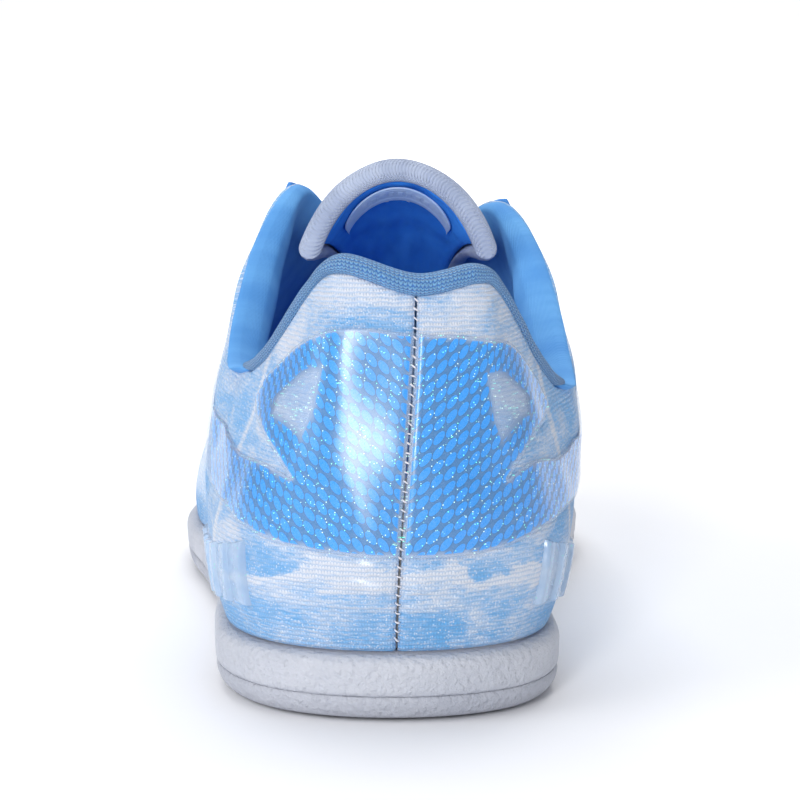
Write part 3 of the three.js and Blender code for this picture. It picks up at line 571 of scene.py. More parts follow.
# Marbled knit: white and blue yarns mixed by stretched noise, ribs of loops, and a silver yarn.
def makeKnitMaterial(name, white, blue):
    material, tree, shader = newMaterial(name, 0.7)
    shader.inputs["Sheen Weight"].default_value = 0.25
    shader.inputs["Sheen Roughness"].default_value = 0.4
    cloth = uvPlace(tree, "cloth", 1000)
    x, y = splitVector(tree, cloth)[0:2]
    station = splitVector(tree, uvPlace(tree, "station"))
    u = calc(tree, "ABSOLUTE", station[0])
    v = station[1]
    stretched = joinVector(tree, calc(tree, "MULTIPLY", x, 0.045), calc(tree, "MULTIPLY", y, 0.11))
    clouds = addNode(tree, "ShaderNodeTexNoise", {"Vector": stretched, "Scale": 1.0, "Detail": 5.0,
                                                  "Roughness": 0.6, "Distortion": 0.8}).outputs[0]
    yarn = addNode(tree, "ShaderNodeTexNoise", {
        "Vector": joinVector(tree, calc(tree, "MULTIPLY", x, 0.5), calc(tree, "MULTIPLY", y, 2.6)),
        "Scale": 1.0, "Detail": 3.0}).outputs[0]
    mixed = calc(tree, "ADD", clouds, calc(tree, "MULTIPLY", calc(tree, "SUBTRACT", yarn, 0.5), 0.5))
    # Whiter below the collar and in the two bands under the film, bluer at the feather line.
    collarBand = calc(tree, "MULTIPLY", smoothStep(tree, v, 0.72, 0.9), -0.05)
    sideBand = calc(tree, "MULTIPLY", smoothStep(tree, u, 1.6, 3.4), 0.11)
    footBand = calc(tree, "MULTIPLY", smoothStep(tree, v, 0.17, 0.04), 0.11)
    waver = calc(tree, "MULTIPLY", calc(tree, "SUBTRACT", clouds, 0.5), 0.34)
    rise = calc(tree, "ABSOLUTE", calc(tree, "SUBTRACT", calc(tree, "ADD", v, waver), 0.205))
    lowBand = calc(tree, "MULTIPLY", calc(tree, "MULTIPLY", smoothStep(tree, rise, 0.036, 0.008),
                                          smoothStep(tree, u, 4.6, 2.4)), -0.34)
    streakPlace = calc(tree, "ABSOLUTE", calc(tree, "SUBTRACT", calc(tree, "ADD", u, calc(
        tree, "MULTIPLY", v, 0.5)), 3.42))
    streak = calc(tree, "MULTIPLY", smoothStep(tree, streakPlace, 0.13, 0.02), -0.22)
    biased = calc(tree, "ADD", calc(tree, "ADD", mixed, collarBand), calc(tree, "ADD", footBand, lowBand))
    biased = calc(tree, "ADD", calc(tree, "ADD", biased, sideBand), streak)
    blueness = smoothStep(tree, biased, 0.3, 0.74)
    body = mixColour(tree, blueness, white, blue)
    loops = useGroup(tree, knitGroup, {"Place": cloth, "Column": 0.62, "Row": 0.92, "Slant": 0.5})
    shadow = calc(tree, "MULTIPLY", loops["Gap"], 0.45)
    shaded = mixColour(tree, shadow, body, mixColour(tree, 0.5, blue, colour(70, 96, 130)))
    silver = useGroup(tree, glitterGroup, {"Place": cloth, "Size": 0.36, "Share": 0.16})
    # Painted shade: the knit darkens to deep blue in the gap of the heel seam.
    seam = smoothStep(tree, calc(tree, "ABSOLUTE", x), 0.34, 0.14)
    shaded = mixColour(tree, calc(tree, "MULTIPLY", seam, 0.85), shaded, colour(24, 62, 130))
    lit = mixColour(tree, calc(tree, "MULTIPLY", silver["Spark"], 0.6), shaded, colour(236, 240, 248))
    tree.links.new(lit, shader.inputs["Base Color"])
    tree.links.new(mixValue(tree, silver["Spark"], 0.72, 0.3), shader.inputs["Roughness"])
    # Clear film runs on below the printed part and over the side, where it shines.
    clear = calc(tree, "MULTIPLY", smoothStep(tree, v, 0.07, 0.14), smoothStep(tree, v, 0.34, 0.26))
    tree.links.new(calc(tree, "MULTIPLY", clear, 0.8), shader.inputs["Coat Weight"])
    shader.inputs["Coat Roughness"].default_value = 0.22
    tree.links.new(bump(tree, loops["Height"], 0.00022), shader.inputs["Normal"])
    return material


# Plain smooth or brushed cloth with a fine twill.
def makeClothMaterial(name, deep, pale, pitch=0.5, sheen=0.5, depth=0.00005):
    material, tree, shader = newMaterial(name, 0.85)
    shader.inputs["Sheen Weight"].default_value = sheen * 0.5
    shader.inputs["Sheen Tint"].default_value = pale
    shader.inputs["Sheen Roughness"].default_value = 0.35
    twill = useGroup(tree, twillGroup, {"Place": uvPlace(tree, "cloth", 1000), "Pitch": pitch})
    tone = smoothStep(tree, twill["Mottle"], 0.3, 0.75)
    base = mixColour(tree, tone, deep, pale)
    # Painted shade: the low parts of the twill darken a little towards the deep colour.
    twillGrooveShade = calc(tree, "MULTIPLY", smoothStep(tree, twill["Height"], 0.9, 0.2), 0.18)
    tree.links.new(mixColour(tree, twillGrooveShade, base, deep), shader.inputs["Base Color"])
    tree.links.new(mixValue(tree, twill["Mottle"], 0.8, 0.92), shader.inputs["Roughness"])
    tree.links.new(bump(tree, twill["Height"], depth), shader.inputs["Normal"])
    return material


# Open coarse knit of the rolled binding.
def makeBindingMaterial(name, high, deep):
    material, tree, shader = newMaterial(name, 0.75)
    shader.inputs["Sheen Weight"].default_value = 0.3
    cloth = uvPlace(tree, "cloth", 1000)
    loops = useGroup(tree, knitGroup, {"Place": cloth, "Column": 0.9, "Row": 0.8, "Slant": 1.0})
    noise = addNode(tree, "ShaderNodeTexNoise", {"Vector": cloth, "Scale": 0.5, "Detail": 3.0}).outputs[0]
    base = mixColour(tree, calc(tree, "MULTIPLY", noise, 0.5), high, colour(112, 172, 226))
    # Painted shade: the gaps between the loops darken towards the deep colour.
    tree.links.new(mixColour(tree, calc(tree, "MULTIPLY", loops["Gap"], 0.85), base, deep),
                   shader.inputs["Base Color"])
    tree.links.new(mixValue(tree, loops["Gap"], 0.6, 0.9), shader.inputs["Roughness"])
    tree.links.new(bump(tree, loops["Height"], 0.0006), shader.inputs["Normal"])
    return material


# Clear film printed with ellipses. Windows and the rim stay clear, and glitter breaks up the gloss.
def makeFilmMaterial(name, printed, between, clearTint):
    material, tree, shader = newMaterial(name, 0.3)
    shader.inputs["Coat Roughness"].default_value = 0.16
    cloth = uvPlace(tree, "cloth", 1000)
    marks = splitVector(tree, uvPlace(tree, "marks"))
    scales = useGroup(tree, scaleGroup, {"Place": cloth})
    flakes = useGroup(tree, glitterGroup, {"Place": cloth, "Size": 0.26, "Share": 0.035})
    facets = useGroup(tree, glitterGroup, {"Place": cloth, "Size": 0.2, "Share": 0.5})
    inPrint = calc(tree, "MULTIPLY", smoothStep(tree, marks[0], 0.5, 0.8),
                   smoothStep(tree, marks[1], 0.0, 0.35))
    ellipse = calc(tree, "MULTIPLY", scales["Mask"], inPrint)
    zone = calc(tree, "MULTIPLY", smoothStep(tree, marks[0], 0.3, 1.6),
                smoothStep(tree, marks[1], -1.5, 1.6))
    backing = mixColour(tree, zone, clearTint, between)
    rim = calc(tree, "MULTIPLY", calc(tree, "MULTIPLY", scales["Rim"], inPrint), 0.35)
    body = mixColour(tree, ellipse, mixColour(tree, rim, backing, colour(52, 96, 152)), printed)
    grain = calc(tree, "MULTIPLY", facets["Spark"], 0.12)
    body = mixColour(tree, grain, body, colour(190, 214, 236))
    sparkTint = mixColour(tree, flakes["Tint"], colour(120, 255, 220), colour(235, 255, 235))
    body = mixColour(tree, flakes["Spark"], body, sparkTint)
    tree.links.new(body, shader.inputs["Base Color"])
    cover = mixValue(tree, zone, 0.26, 0.78)
    cover = mixValue(tree, ellipse, cover, 0.97)
    cover = calc(tree, "MAXIMUM", cover, flakes["Spark"])
    tree.links.new(cover, shader.inputs["Alpha"])
    # Painted glint: the glitter flakes glow by emission in their spark tint.
    tree.links.new(sparkTint, shader.inputs["Emission Color"])
    tree.links.new(calc(tree, "MULTIPLY", flakes["Spark"], 0.55), shader.inputs["Emission Strength"])
    tree.links.new(mixValue(tree, facets["Facet"], 0.22, 0.42), shader.inputs["Roughness"])
    gloss = calc(tree, "ADD", 0.25, calc(tree, "MULTIPLY", facets["Facet"], 0.75))
    tree.links.new(calc(tree, "MULTIPLY", gloss, mixValue(tree, ellipse, 1.0, 0.85)),
                   shader.inputs["Coat Weight"])
    grit = addNode(tree, "ShaderNodeTexNoise", {"Vector": cloth, "Scale": 5.5, "Detail": 2.0}).outputs[0]
    relief = bump(tree, grit, 0.000014)
    tree.links.new(relief, shader.inputs["Normal"])
    tree.links.new(relief, shader.inputs["Coat Normal"])
    return material


# Raised clear gel of the side marks.
def makeGelMaterial(name, tint):
    material, tree, shader = newMaterial(name, 0.2)
    shader.inputs["Coat Roughness"].default_value = 0.08
    shader.inputs["Coat Weight"].default_value = 0.8
    place = objectPlace(tree, 1000)
    flakes = useGroup(tree, glitterGroup, {"Place": place, "Size": 0.3, "Share": 0.03})
    cloud = addNode(tree, "ShaderNodeTexNoise", {"Vector": place, "Scale": 0.25, "Detail": 4.0}).outputs[0]
    base = mixColour(tree, cloud, tint, colour(196, 216, 240))
    tree.links.new(mixColour(tree, flakes["Spark"], base, colour(160, 255, 230)),
                   shader.inputs["Base Color"])
    tree.links.new(mixValue(tree, cloud, 0.42, 0.66), shader.inputs["Alpha"])
    tree.links.new(bump(tree, cloud, 0.0002, 0.5), shader.inputs["Normal"])
    return material


# Twisted thread: slanting strands, as distorted diagonal waves.
def makeThreadMaterial(name, base, deep):
    material, tree, shader = newMaterial(name, 0.45)
    shader.inputs["Sheen Weight"].default_value = 0.3
    place = objectPlace(tree, 1000)
    strands = addNode(tree, "ShaderNodeTexWave", {"Vector": place, "Scale": 1.6, "Distortion": 1.0},
                      bands_direction="DIAGONAL").outputs["Fac"]
    tree.links.new(mixColour(tree, strands, deep, base), shader.inputs["Base Color"])
    tree.links.new(mixValue(tree, strands, 0.5, 0.35), shader.inputs["Roughness"])
    tree.links.new(bump(tree, strands, 0.0001), shader.inputs["Normal"])
    return material


# Board, foam and stiffener: fibrous or cellular, out of sight.
def makeHiddenMaterial(name, base, shade, size):
    material, tree, shader = newMaterial(name, 0.9)
    grain = useGroup(tree, grainGroup, {"Place": objectPlace(tree, 1000), "Size": size})
    tree.links.new(mixColour(tree, grain["Wear"], base, shade), shader.inputs["Base Color"])
    tree.links.new(bump(tree, grain["Height"], 0.0003), shader.inputs["Normal"])
    return material


materials = {
    "outsole_rubber": makeSoleMaterial(
        "outsole_rubber", colour(184, 187, 197), colour(172, 176, 188), 0.0005),
    "midsole_foam": makeSoleMaterial("midsole_foam", colour(196, 199, 208), colour(184, 188, 199), 0.00045),
    "marbled_knit": makeKnitMaterial("marbled_knit", colour(222, 227, 238), colour(104, 174, 232)),
    "vamp_fabric": makeKnitMaterial("vamp_fabric", colour(176, 212, 246), colour(96, 168, 232)),
    "collar_fabric": makeClothMaterial("collar_fabric", colour(78, 146, 212), colour(104, 170, 228)),
    # Painted light: a brighter, bluer copy of the collar fabric for the vamp and tongue linings, standing in
    # for light bounced round the inside of the shoe.
    "lining_fabric": makeClothMaterial("lining_fabric", colour(42, 138, 240), colour(64, 158, 252)),
    "sockliner_fabric": makeClothMaterial(
        "sockliner_fabric", colour(14, 112, 240), colour(36, 138, 250), 0.7),
    "tongue_knit": makeClothMaterial(
        "tongue_knit", colour(160, 172, 198), colour(190, 200, 220), 0.8, 0.3, 0.00022),
    "binding_knit": makeBindingMaterial("binding_knit", colour(132, 202, 255), colour(30, 96, 182)),
    "heel_film": makeFilmMaterial(
        "heel_film", colour(58, 154, 238), colour(84, 140, 196), colour(190, 212, 240)),
    "side_mark": makeGelMaterial("side_mark", colour(176, 206, 236)),
    "eyestay": makeClothMaterial("eyestay", colour(62, 132, 208), colour(84, 152, 222), 0.6, 0.3),
    "thread": makeThreadMaterial("thread", colour(255, 250, 252), colour(226, 228, 240)),
    "label": makeClothMaterial("label", colour(190, 216, 248), colour(214, 232, 252), 0.5, 0.1, 0.00001),
    "board": makeHiddenMaterial("board", colour(228, 226, 218), colour(205, 202, 192), 0.8),
    "padding_foam": makeHiddenMaterial("padding_foam", colour(190, 210, 238), colour(168, 192, 226), 0.5),
    "stiffener": makeHiddenMaterial("stiffener", colour(232, 229, 220), colour(214, 210, 198), 1.2),
}
print("materials made")

soleSettings = {
    "rim": 2.6, "roundUnder": 3.4, "lip": 0.35, "underInset": 7.5, "innerInset": 3.0, "rollTop": 2.4,
    "grooveDepth": 0.45, "partingGap": 0.1,
}
# Tread: chevron channels under the heel and the forefoot, each zone as (fade in, full, full, fade out) in y.
treadSettings = {
    "pitch": 7.0, "width": 0.75, "depth": 1.3, "sweep": 0.55, "heel": (8, 13, 56, 62),
    "forefoot": (118, 124, 236, 242),
}


# Outsole: flat tread, rounded under at the edge, with a fine lip at the parting line.
def makeOutsole():
    s = soleSettings
    t = np.linspace(0, 1, 16)
    thickness = lastSizes["outsole"]
    under = s["roundUnder"] * (1 - np.sqrt(1 - (1 - t) ** 2))
    wall = -s["rim"] + s["lip"] + under + s["lip"] * ease(0.8, 1, t)
    insets = [s["underInset"], *wall, s["innerInset"]]
    shares = [0.0, *(t * 0.96 + 0.04 * ease(0.6, 1, t)), 1.0]

    def at(share):
        return lambda y: groundLine(y) + thickness * share

    # Depth of the channels: a bell across each chevron, faded to nothing at the zones' ends.
    def tread(x, y):
        g = treadSettings
        chevron = (y + g["sweep"] * np.abs(x - 0.02 * y)) % g["pitch"]
        groove = bell(chevron, g["pitch"] / 2, g["width"])
        zone = sum(ease(a, b, y) * ease(d, c, y) for a, b, c, d in (g["forefoot"], g["heel"]))
        return g["depth"] * groove * np.clip(zone, 0, 1)

    piece = makeSlab("outsole_fine", materials["outsole_rubber"], insets, [at(k) for k in shares], 70, 700,
                     tread)
    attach(piece, "shoe")
    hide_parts("outsole")


# Midsole: swells above the parting line and rolls in to the upper.
def makeMidsole():
    s = soleSettings
    t = np.linspace(0, 1, 22)
    roll = s["rollTop"] * (1 - np.sqrt(np.clip(1 - np.clip((t - 0.62) / 0.38, 0, 1) ** 2, 0, 1)))
    groove = s["grooveDepth"] * bell(t, 0, 0.06)
    insets = [4.0, *(-s["rim"] + 0.3 * (1 - t) ** 2 + groove + roll), 4.5]
    gap = s["partingGap"]

    def at(share):
        return lambda y: outsoleTop(y) + gap + (midsoleTop(y) - outsoleTop(y) - gap) * share

    piece = makeSlab("midsole_fine", materials["midsole_foam"], insets, [at(k) for k in (0.0, *t, 1.0)],
                     16, 560)
    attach(piece, "shoe")
    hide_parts("midsole")


makeOutsole()
makeMidsole()
print("sole made")

socklinerSettings = {"board": 1.5, "foam": 3.4, "insets": (7.4, 7.2, 7.8), "rises": (0, 0.5, 0.9)}


# Insole cover: a thin fabric face with a rounded edge, mapped from above.
def makeSockliner():
    s = socklinerSettings
    base = lastSizes["seat"] * 3 + s["board"] + s["foam"]

    def at(rise):
        return lambda y: midsoleTop(y) + base + rise

    piece = makeSlab("sockliner_cover_fine", materials["sockliner_fabric"], s["insets"],
                     [at(rise) for rise in s["rises"]], 20, 300)
    places = np.empty(len(piece.data.vertices) * 3)
    piece.data.vertices.foreach_get("co", places)
    writeMap(piece.data, "cloth", places.reshape(-1, 3)[:, :2])
    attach(piece, "shoe")
    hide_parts("sockliner_cover")


makeSockliner()
print("sockliner made")

upperSettings = {
    "knit": 1.4, "layerGap": 0.4, "stiffener": 1.1, "lining": 0.7, "padding": 4.4, "paddingStart": 0.54,
    "seamHalf": 0.012, "quarterEnd": 9.0, "bindingEnd": 3.9, "bindingRise": 4.2,
    "bindingRiseEnds": 2.4, "paddingFade": (5.6, 7.4), "lobeStart": (3.35, 3.85), "lobeEnd": (6.6, 7.4),
    "tuck": 0.9, "liningFoot": 0.03,
}


# Height of the binding, thinning from the heel to its ends.
def bindingHeight(u):
    s = upperSettings
    distance = np.abs(u)
    height = s["bindingRise"] + (s["bindingRiseEnds"] - s["bindingRise"]) * ease(0.6, 2, distance)
    return height * (1 - ease(s["bindingEnd"] - 0.5, s["bindingEnd"], distance))


# Top edge of the knit below the binding: the top line less the binding's height.
def knitEdge(u):
    return 1 - bindingHeight(u) / wallLength(u)


# Relief of the knit's outer face: a dip at the heel seam, folds under the film, a crease above the sole.
def knitRelief(u, v):
    s = girth(u)
    h = v * wallTall
    seam = -0.7 * bell(s, 0, 0.75)
    fromSeam = np.clip(1 - np.abs(s) / 30, 0, 1)
    folds = 0.0
    for centre, drift, depth in ((12.5, 0.10, 0.8), (9.2, 0.05, 0.65), (15.8, 0.16, 0.6)):
        folds = folds + depth * bell(h - drift * np.abs(s), centre, 0.75)
    folds = folds * fromSeam * ease(0.5, 4, np.abs(s))
    soft = 0.28 * ripple(s, h, 26, 4) * ease(0.02, 0.2, v)
    return seam + folds + soft


# Thickness of the collar padding: a sine roll from its start to the top, faded to the front.
def padding(u, v):
    s = upperSettings
    t = np.clip((v - s["paddingStart"]) / (1 - s["paddingStart"]), 0, 1)
    roll = np.sin(math.pi * t ** 1.5) ** 0.7
    return s["padding"] * np.nan_to_num(roll) * (1 - ease(*s["paddingFade"], np.abs(u)))


# How far round the collar's side lobes the lining is rolled over the top edge.
def lobe(u):
    return ease(*upperSettings["lobeStart"], np.abs(u))


# Inner face of the lining, with soft puckers over the padding.
def liningFace(u, v):
    s = upperSettings
    flat = s["knit"] + s["layerGap"] * 2 + s["stiffener"] + s["lining"]
    pucker = 0.3 * ripple(girth(u), v * wallTall, 17, 9) * ease(0.55, 0.75, v) * (1 - ease(0.9, 1, v))
    full = 0.9 * lobe(u) * ease(0.8, 0.93, v) * (1 - ease(*s["paddingFade"], np.abs(u)))
    return -flat - padding(u, v) - pucker - full


# Outer face of the lining: a thin sheet below, and a full roll out to the knit's face at the lobes' top.
def liningOuter(u, v):
    s = upperSettings
    sheet = liningFace(u, v) + s["lining"]
    top = -1.35 + (1.1 + 2.1 * bell(np.abs(u), 3.95, 0.6)) * lobe(u)
    rolled = ease(0.95, 0.972, v)
    return sheet + (top - sheet) * rolled


# Top edge of the knit: under the binding at the heel, tucked under the lining's roll at the lobes.
def knitTop(u):
    s = upperSettings
    return knitEdge(u) - s["tuck"] * lobe(u) * (1 - ease(*s["lobeEnd"], np.abs(u))) / wallLength(u)


# Top edge of the lining, a little above the knit's.
def liningTop(u):
    return np.minimum(knitEdge(u) + upperSettings["tuck"] / wallLength(u), 0.9995)


sides = {"lateral": 1, "medial": -1}


# Knit half: from the feather line to its top, one knit thick below its relief.
def makeKnitPiece(name, material, us, nodes):
    piece = makeLayer(
        name, material, us, lambda u: 0 * u, knitTop, knitRelief,
        lambda u, v: 0 * v - upperSettings["knit"], 90)
    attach(piece, "shoe")
    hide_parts(*nodes)


# Collar lining with its padding: a sheet between the lining's two faces.
def makeLiningPiece(name, material, us, nodes, high):
    piece = makeLayer(
        name, material, us, lambda u: 0 * u + upperSettings["liningFoot"], high, liningOuter, liningFace,
        130, 1.5)
    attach(piece, "shoe")
    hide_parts(*nodes)
    return piece


# Both halves and the vamp, each with its lining. The collar linings are handed back.
def makeUpper():
    s = upperSettings
    linings = []
    for side, sign in sides.items():
        us = sign * np.linspace(s["seamHalf"], s["quarterEnd"] - s["seamHalf"], 300)
        makeKnitPiece("quarter_" + side + "_fine", materials["marbled_knit"], us, ["quarter_" + side])
        linings.append(makeLiningPiece("collar_lining_" + side + "_fine", materials["collar_fabric"], us,
                                       ["collar_lining_" + side, "collar_foam_" + side],
                                       liningTop))
    makeVamp()
    makeVampLining()
    return linings


# The vamp crosses the toe, from one quarter's front edge to the other's.
def vampStations(count):
    start = upperSettings["quarterEnd"] + upperSettings["seamHalf"]
    return np.linspace(start, stationCount - start, count)


# Vamp knit: the full height of the wall, with a soft ripple that fades to the feather line.
def makeVamp():
    us = vampStations(320)
    piece = makeLayer("vamp_fine", materials["vamp_fabric"], us, lambda u: 0 * u, lambda u: 0 * u + 1,
                      lambda u, v: 0.25 * ripple(u * stationWide, v * 70, 30, 6) * ease(0.05, 0.3, v),
                      lambda u, v: 0 * v - upperSettings["knit"], 90)
    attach(piece, "shoe")
    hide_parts("vamp")


# Vamp lining: a plain sheet inside the knit and its stiffener.
def makeVampLining():
    flat = upperSettings["knit"] + 2 * upperSettings["layerGap"] + upperSettings["stiffener"]
    us = vampStations(240)
    piece = makeLayer("vamp_lining_fine", materials["lining_fabric"], us, lambda u: 0 * u + 0.03,
                      lambda u: 0 * u + 0.985, lambda u, v: 0 * v - flat,
                      lambda u, v: 0 * v - flat - upperSettings["lining"], 60)
    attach(piece, "shoe")
    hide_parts("vamp_lining")


collarLinings = makeUpper()
print("upper made")

# Rolled binding along the heel collar: a flattened tube, pinched where it is sewn down.
bindingSettings = {"thickness": 4.8, "reach": 3.72}


# Closed tube round the top edge: an oval of width and depth that shrink to the ends.
def makeBinding():
    us = np.linspace(-bindingSettings["reach"], bindingSettings["reach"], 420)[:, None]
    angle = (np.arange(36) * 2 * math.pi / 36)[None, :]
    half = np.maximum(bindingHeight(us), 0.5) / 2
    reach = (half + 0.15) / wallLength(us)
    thick = bindingSettings["thickness"] * (0.3 + 0.7 * half / (upperSettings["bindingRise"] / 2))
    thick = thick * (0.25 + 0.75 * ease(3.72, 3.3, np.abs(us)))
    lump = 1 + 0.05 * ripple(girth(us), 8 * angle, 9, 12)
    v = 1 - reach + reach * np.sign(np.cos(angle)) * np.abs(np.cos(angle)) ** 0.85
    offset = 1.1 - thick / 2 + thick / 2 * lump * np.sin(angle)
    u = np.broadcast_to(us, v.shape)
    points = upperPoint(u, v, offset)
    cloth = np.stack([girth(u), 2.6 * np.broadcast_to(angle, v.shape)], -1) * mm
    piece = makeObject("heel_binding_fine", points, loftFaces(*v.shape), materials["binding_knit"],
                       [("cloth", cloth)])
    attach(piece, "shoe")
    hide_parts("heel_binding")


makeBinding()
print("binding made")

# Edges of one half of the film as (u, v): along the foot, the arm's top, the wing's underside, the top.
filmEdges = {
    "foot": [(0.02, 0.262), (0.5, 0.26), (1, 0.262), (1.5, 0.28), (2, 0.315), (2.5, 0.365), (3, 0.44),
             (3.75, 0.495), (4.4, 0.53), (5.4, 0.58), (6.3, 0.67)],
    "arm": [(0.02, 0.453), (1.5, 0.453), (2.3, 0.54), (3, 0.62), (3.8, 0.74), (4.5, 0.765), (5.2, 0.76),
            (6.3, 0.69)],
    "wing": [(0.02, 0.453), (1.5, 0.453), (2.2, 0.59), (2.75, 0.72), (3.02, 0.81)],
    "top": [(0.02, 0.845), (0.45, 0.83), (0.9, 0.808), (1.35, 0.806), (2.3, 0.85), (2.8, 0.86),
            (3.02, 0.82)],
}
filmWindow = np.array([(1.15, 0.715), (1.7, 0.735), (2.3, 0.725), (2.25, 0.665), (1.4, 0.55), (1.25, 0.6)])
filmSettings = {"lift": 0.1, "thickness": 0.4, "printEnd": 4.2}


# Height of a film edge at station u, straight between its points.
def edgeHeight(name, u):
    edge = np.array(filmEdges[name])
    return np.interp(u, edge[:, 0], edge[:, 1])


# Signed distance to a closed outline, positive inside, for points in the same flat units.
def insideDistance(x, y, outline):
    ax, ay = outline[:, 0], outline[:, 1]
    bx, by = np.roll(ax, -1), np.roll(ay, -1)
    px, py = x[..., None], y[..., None]
    lengthSquared = (bx - ax) ** 2 + (by - ay) ** 2
    t = np.clip(((px - ax) * (bx - ax) + (py - ay) * (by - ay)) / lengthSquared, 0, 1)
    distance = np.sqrt((px - ax - t * (bx - ax)) ** 2 + (py - ay - t * (by - ay)) ** 2).min(-1)
    fall = np.where(by == ay, 1e-9, by - ay)
    crosses = ((ay > py) != (by > py)) & (px < (bx - ax) * (py - ay) / fall + ax)
    inside = crosses.sum(-1) % 2 == 1
    return np.where(inside, distance, -distance)


# Two strips, arm and wing, that share the line between them up to the notch.
def filmStrips():
    outline = np.array(filmEdges["foot"] + filmEdges["arm"][:0:-1][:-1] + filmEdges["wing"][1:]
                       + filmEdges["top"][::-1])
    strips = []
    for lowName, highName, farU, rows in (("foot", "arm", 6.31, 44), ("wing", "top", 3.03, 60)):
        columnsU = np.linspace(0.02, 6.3, 330)
        columnsU = columnsU[columnsU <= farU]
        low = edgeHeight(lowName, columnsU)
        high = np.maximum(edgeHeight(highName, columnsU), low + 0.002)
        share = np.linspace(0, 1, rows)[None, :]
        strips.append((columnsU[:, None] + 0 * share, low[:, None] + (high - low)[:, None] * share))
    return strips, outline


# One half of the film: its strips laid on the knit, with a wall added outwards.
def makeFilm(side, sign):
    strips, outline = filmStrips()
    flat = np.array([stationWide, wallTall])
    points, cloth, marks, faces = [], [], [], []
    start = 0
    for u, v in strips:
        place = upperPoint(sign * u, v, knitRelief(sign * u, v) + filmSettings["lift"])
        heights = np.interp(v, [0, 1], [0, wallTall])
        points.append(place.reshape(-1, 3))
        cloth.append(np.stack([np.abs(girth(sign * u)) + 0.25, place[..., 2]], -1).reshape(-1, 2) * mm)
        rim = insideDistance(u * flat[0], heights, outline * flat)
        rim = np.minimum(rim, (filmSettings["printEnd"] + 3.2 * (v - 0.6) - u) * flat[0] * 0.7)
        window = -insideDistance(u * flat[0], heights, filmWindow * flat)
        marks.append(np.stack([rim, window], -1).reshape(-1, 2))
        faces.append(gridFaces(*u.shape) + start)
        start += u.size
    facing = np.concatenate(faces)
    if sign > 0:
        facing = facing[:, ::-1]
    maps = [("cloth", np.concatenate(cloth)), ("marks", np.concatenate(marks))]
    piece = makeObject("heel_film_" + side + "_fine", np.concatenate(points), facing, materials["heel_film"],
                       maps, closed=False)
    weld = piece.modifiers.new("weld", "WELD")
    weld.merge_threshold = 0.00002
    solid = piece.modifiers.new("wall", "SOLIDIFY")
    solid.thickness = filmSettings["thickness"] * mm
    solid.offset = 1
    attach(piece, "shoe")
    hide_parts("heel_film_" + side)


for sideName, sideSign in sides.items():
    makeFilm(sideName, sideSign)
print("film made")

# The slanted bars as (u, v) from the feather line up. A low web joins them over their full height.
markSettings = {"rise": 1.2, "web": 0.3, "sunk": -0.75, "shoulder": 0.7, "waver": 0.06,
                "columns": 260, "rows": 150}
markBars = {"start": 2.1, "count": 6, "pitch": 0.42, "bar": 0.2, "lean": 0.15, "foot": 0.1, "head": 0.3}


# A sheet sunk in the knit that rises a little inside the outline and fully at the bars: the higher of two
# eased steps, each the root of a smooth step of the distance from its edge.
def makeMark(side, sign):
    s, b = markSettings, markBars
    length = (b["count"] - 1) * b["pitch"] + b["bar"]
    u = np.linspace(b["start"] - 0.1, b["start"] + length + b["lean"] + 0.1, s["columns"])[:, None]
    v = np.linspace(b["foot"] - 0.02, b["head"] + 0.02, s["rows"])[None, :]
    u, v = np.broadcast_arrays(u, v)
    rise = (v - b["foot"]) / (b["head"] - b["foot"])
    along = u - b["start"] - b["lean"] * rise
    nearest = np.clip(np.round((along - b["bar"] / 2) / b["pitch"]), 0, b["count"] - 1)
    inBar = (b["bar"] / 2 - np.abs(along - b["bar"] / 2 - nearest * b["pitch"])) * stationWide
    tall = (b["head"] - b["foot"]) * wallTall
    inBand = np.minimum(np.minimum(along, length - along) * stationWide, np.minimum(rise, 1 - rise) * tall)
    web = (s["web"] - s["sunk"]) * np.sqrt(ease(0, s["shoulder"], np.maximum(inBand, 0)))
    inBar = np.maximum(np.minimum(inBar, inBand), 0)
    bars = (s["rise"] - s["sunk"]) * np.sqrt(ease(0, s["shoulder"], inBar))
    lift = s["sunk"] + np.maximum(web, bars) + s["waver"] * ripple(u * stationWide, v * wallTall, 3, 20)
    outer = upperPoint(sign * u, v, lift)
    inner = upperPoint(sign * u, v, s["sunk"] - 0.3)
    rows, columns = u.shape
    face = gridFaces(rows, columns)
    top = np.arange(columns)
    edge = np.concatenate([top, np.arange(1, rows) * columns + columns - 1,
                           (rows - 1) * columns + top[::-1][1:], np.arange(rows - 2, 0, -1) * columns])
    after = np.roll(edge, -1)
    wall = np.stack([edge, after, after + rows * columns, edge + rows * columns], -1)
    faces = np.concatenate([face[:, ::-1], face + rows * columns, wall[:, ::-1]])
    points = np.concatenate([outer.reshape(-1, 3), inner.reshape(-1, 3)])
    piece = makeObject("side_mark_" + side + "_fine", points, faces, materials["side_mark"])
    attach(piece, "shoe")
    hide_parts("side_mark_" + side)


eyestaySettings = {"from": 7.1, "width": 13, "low": 0.4, "thickness": 1.0, "hole": 3.6, "holes": 5,
                   "first": 7.45, "pitch": 0.95, "inset": 6.5, "edge": 0.6}


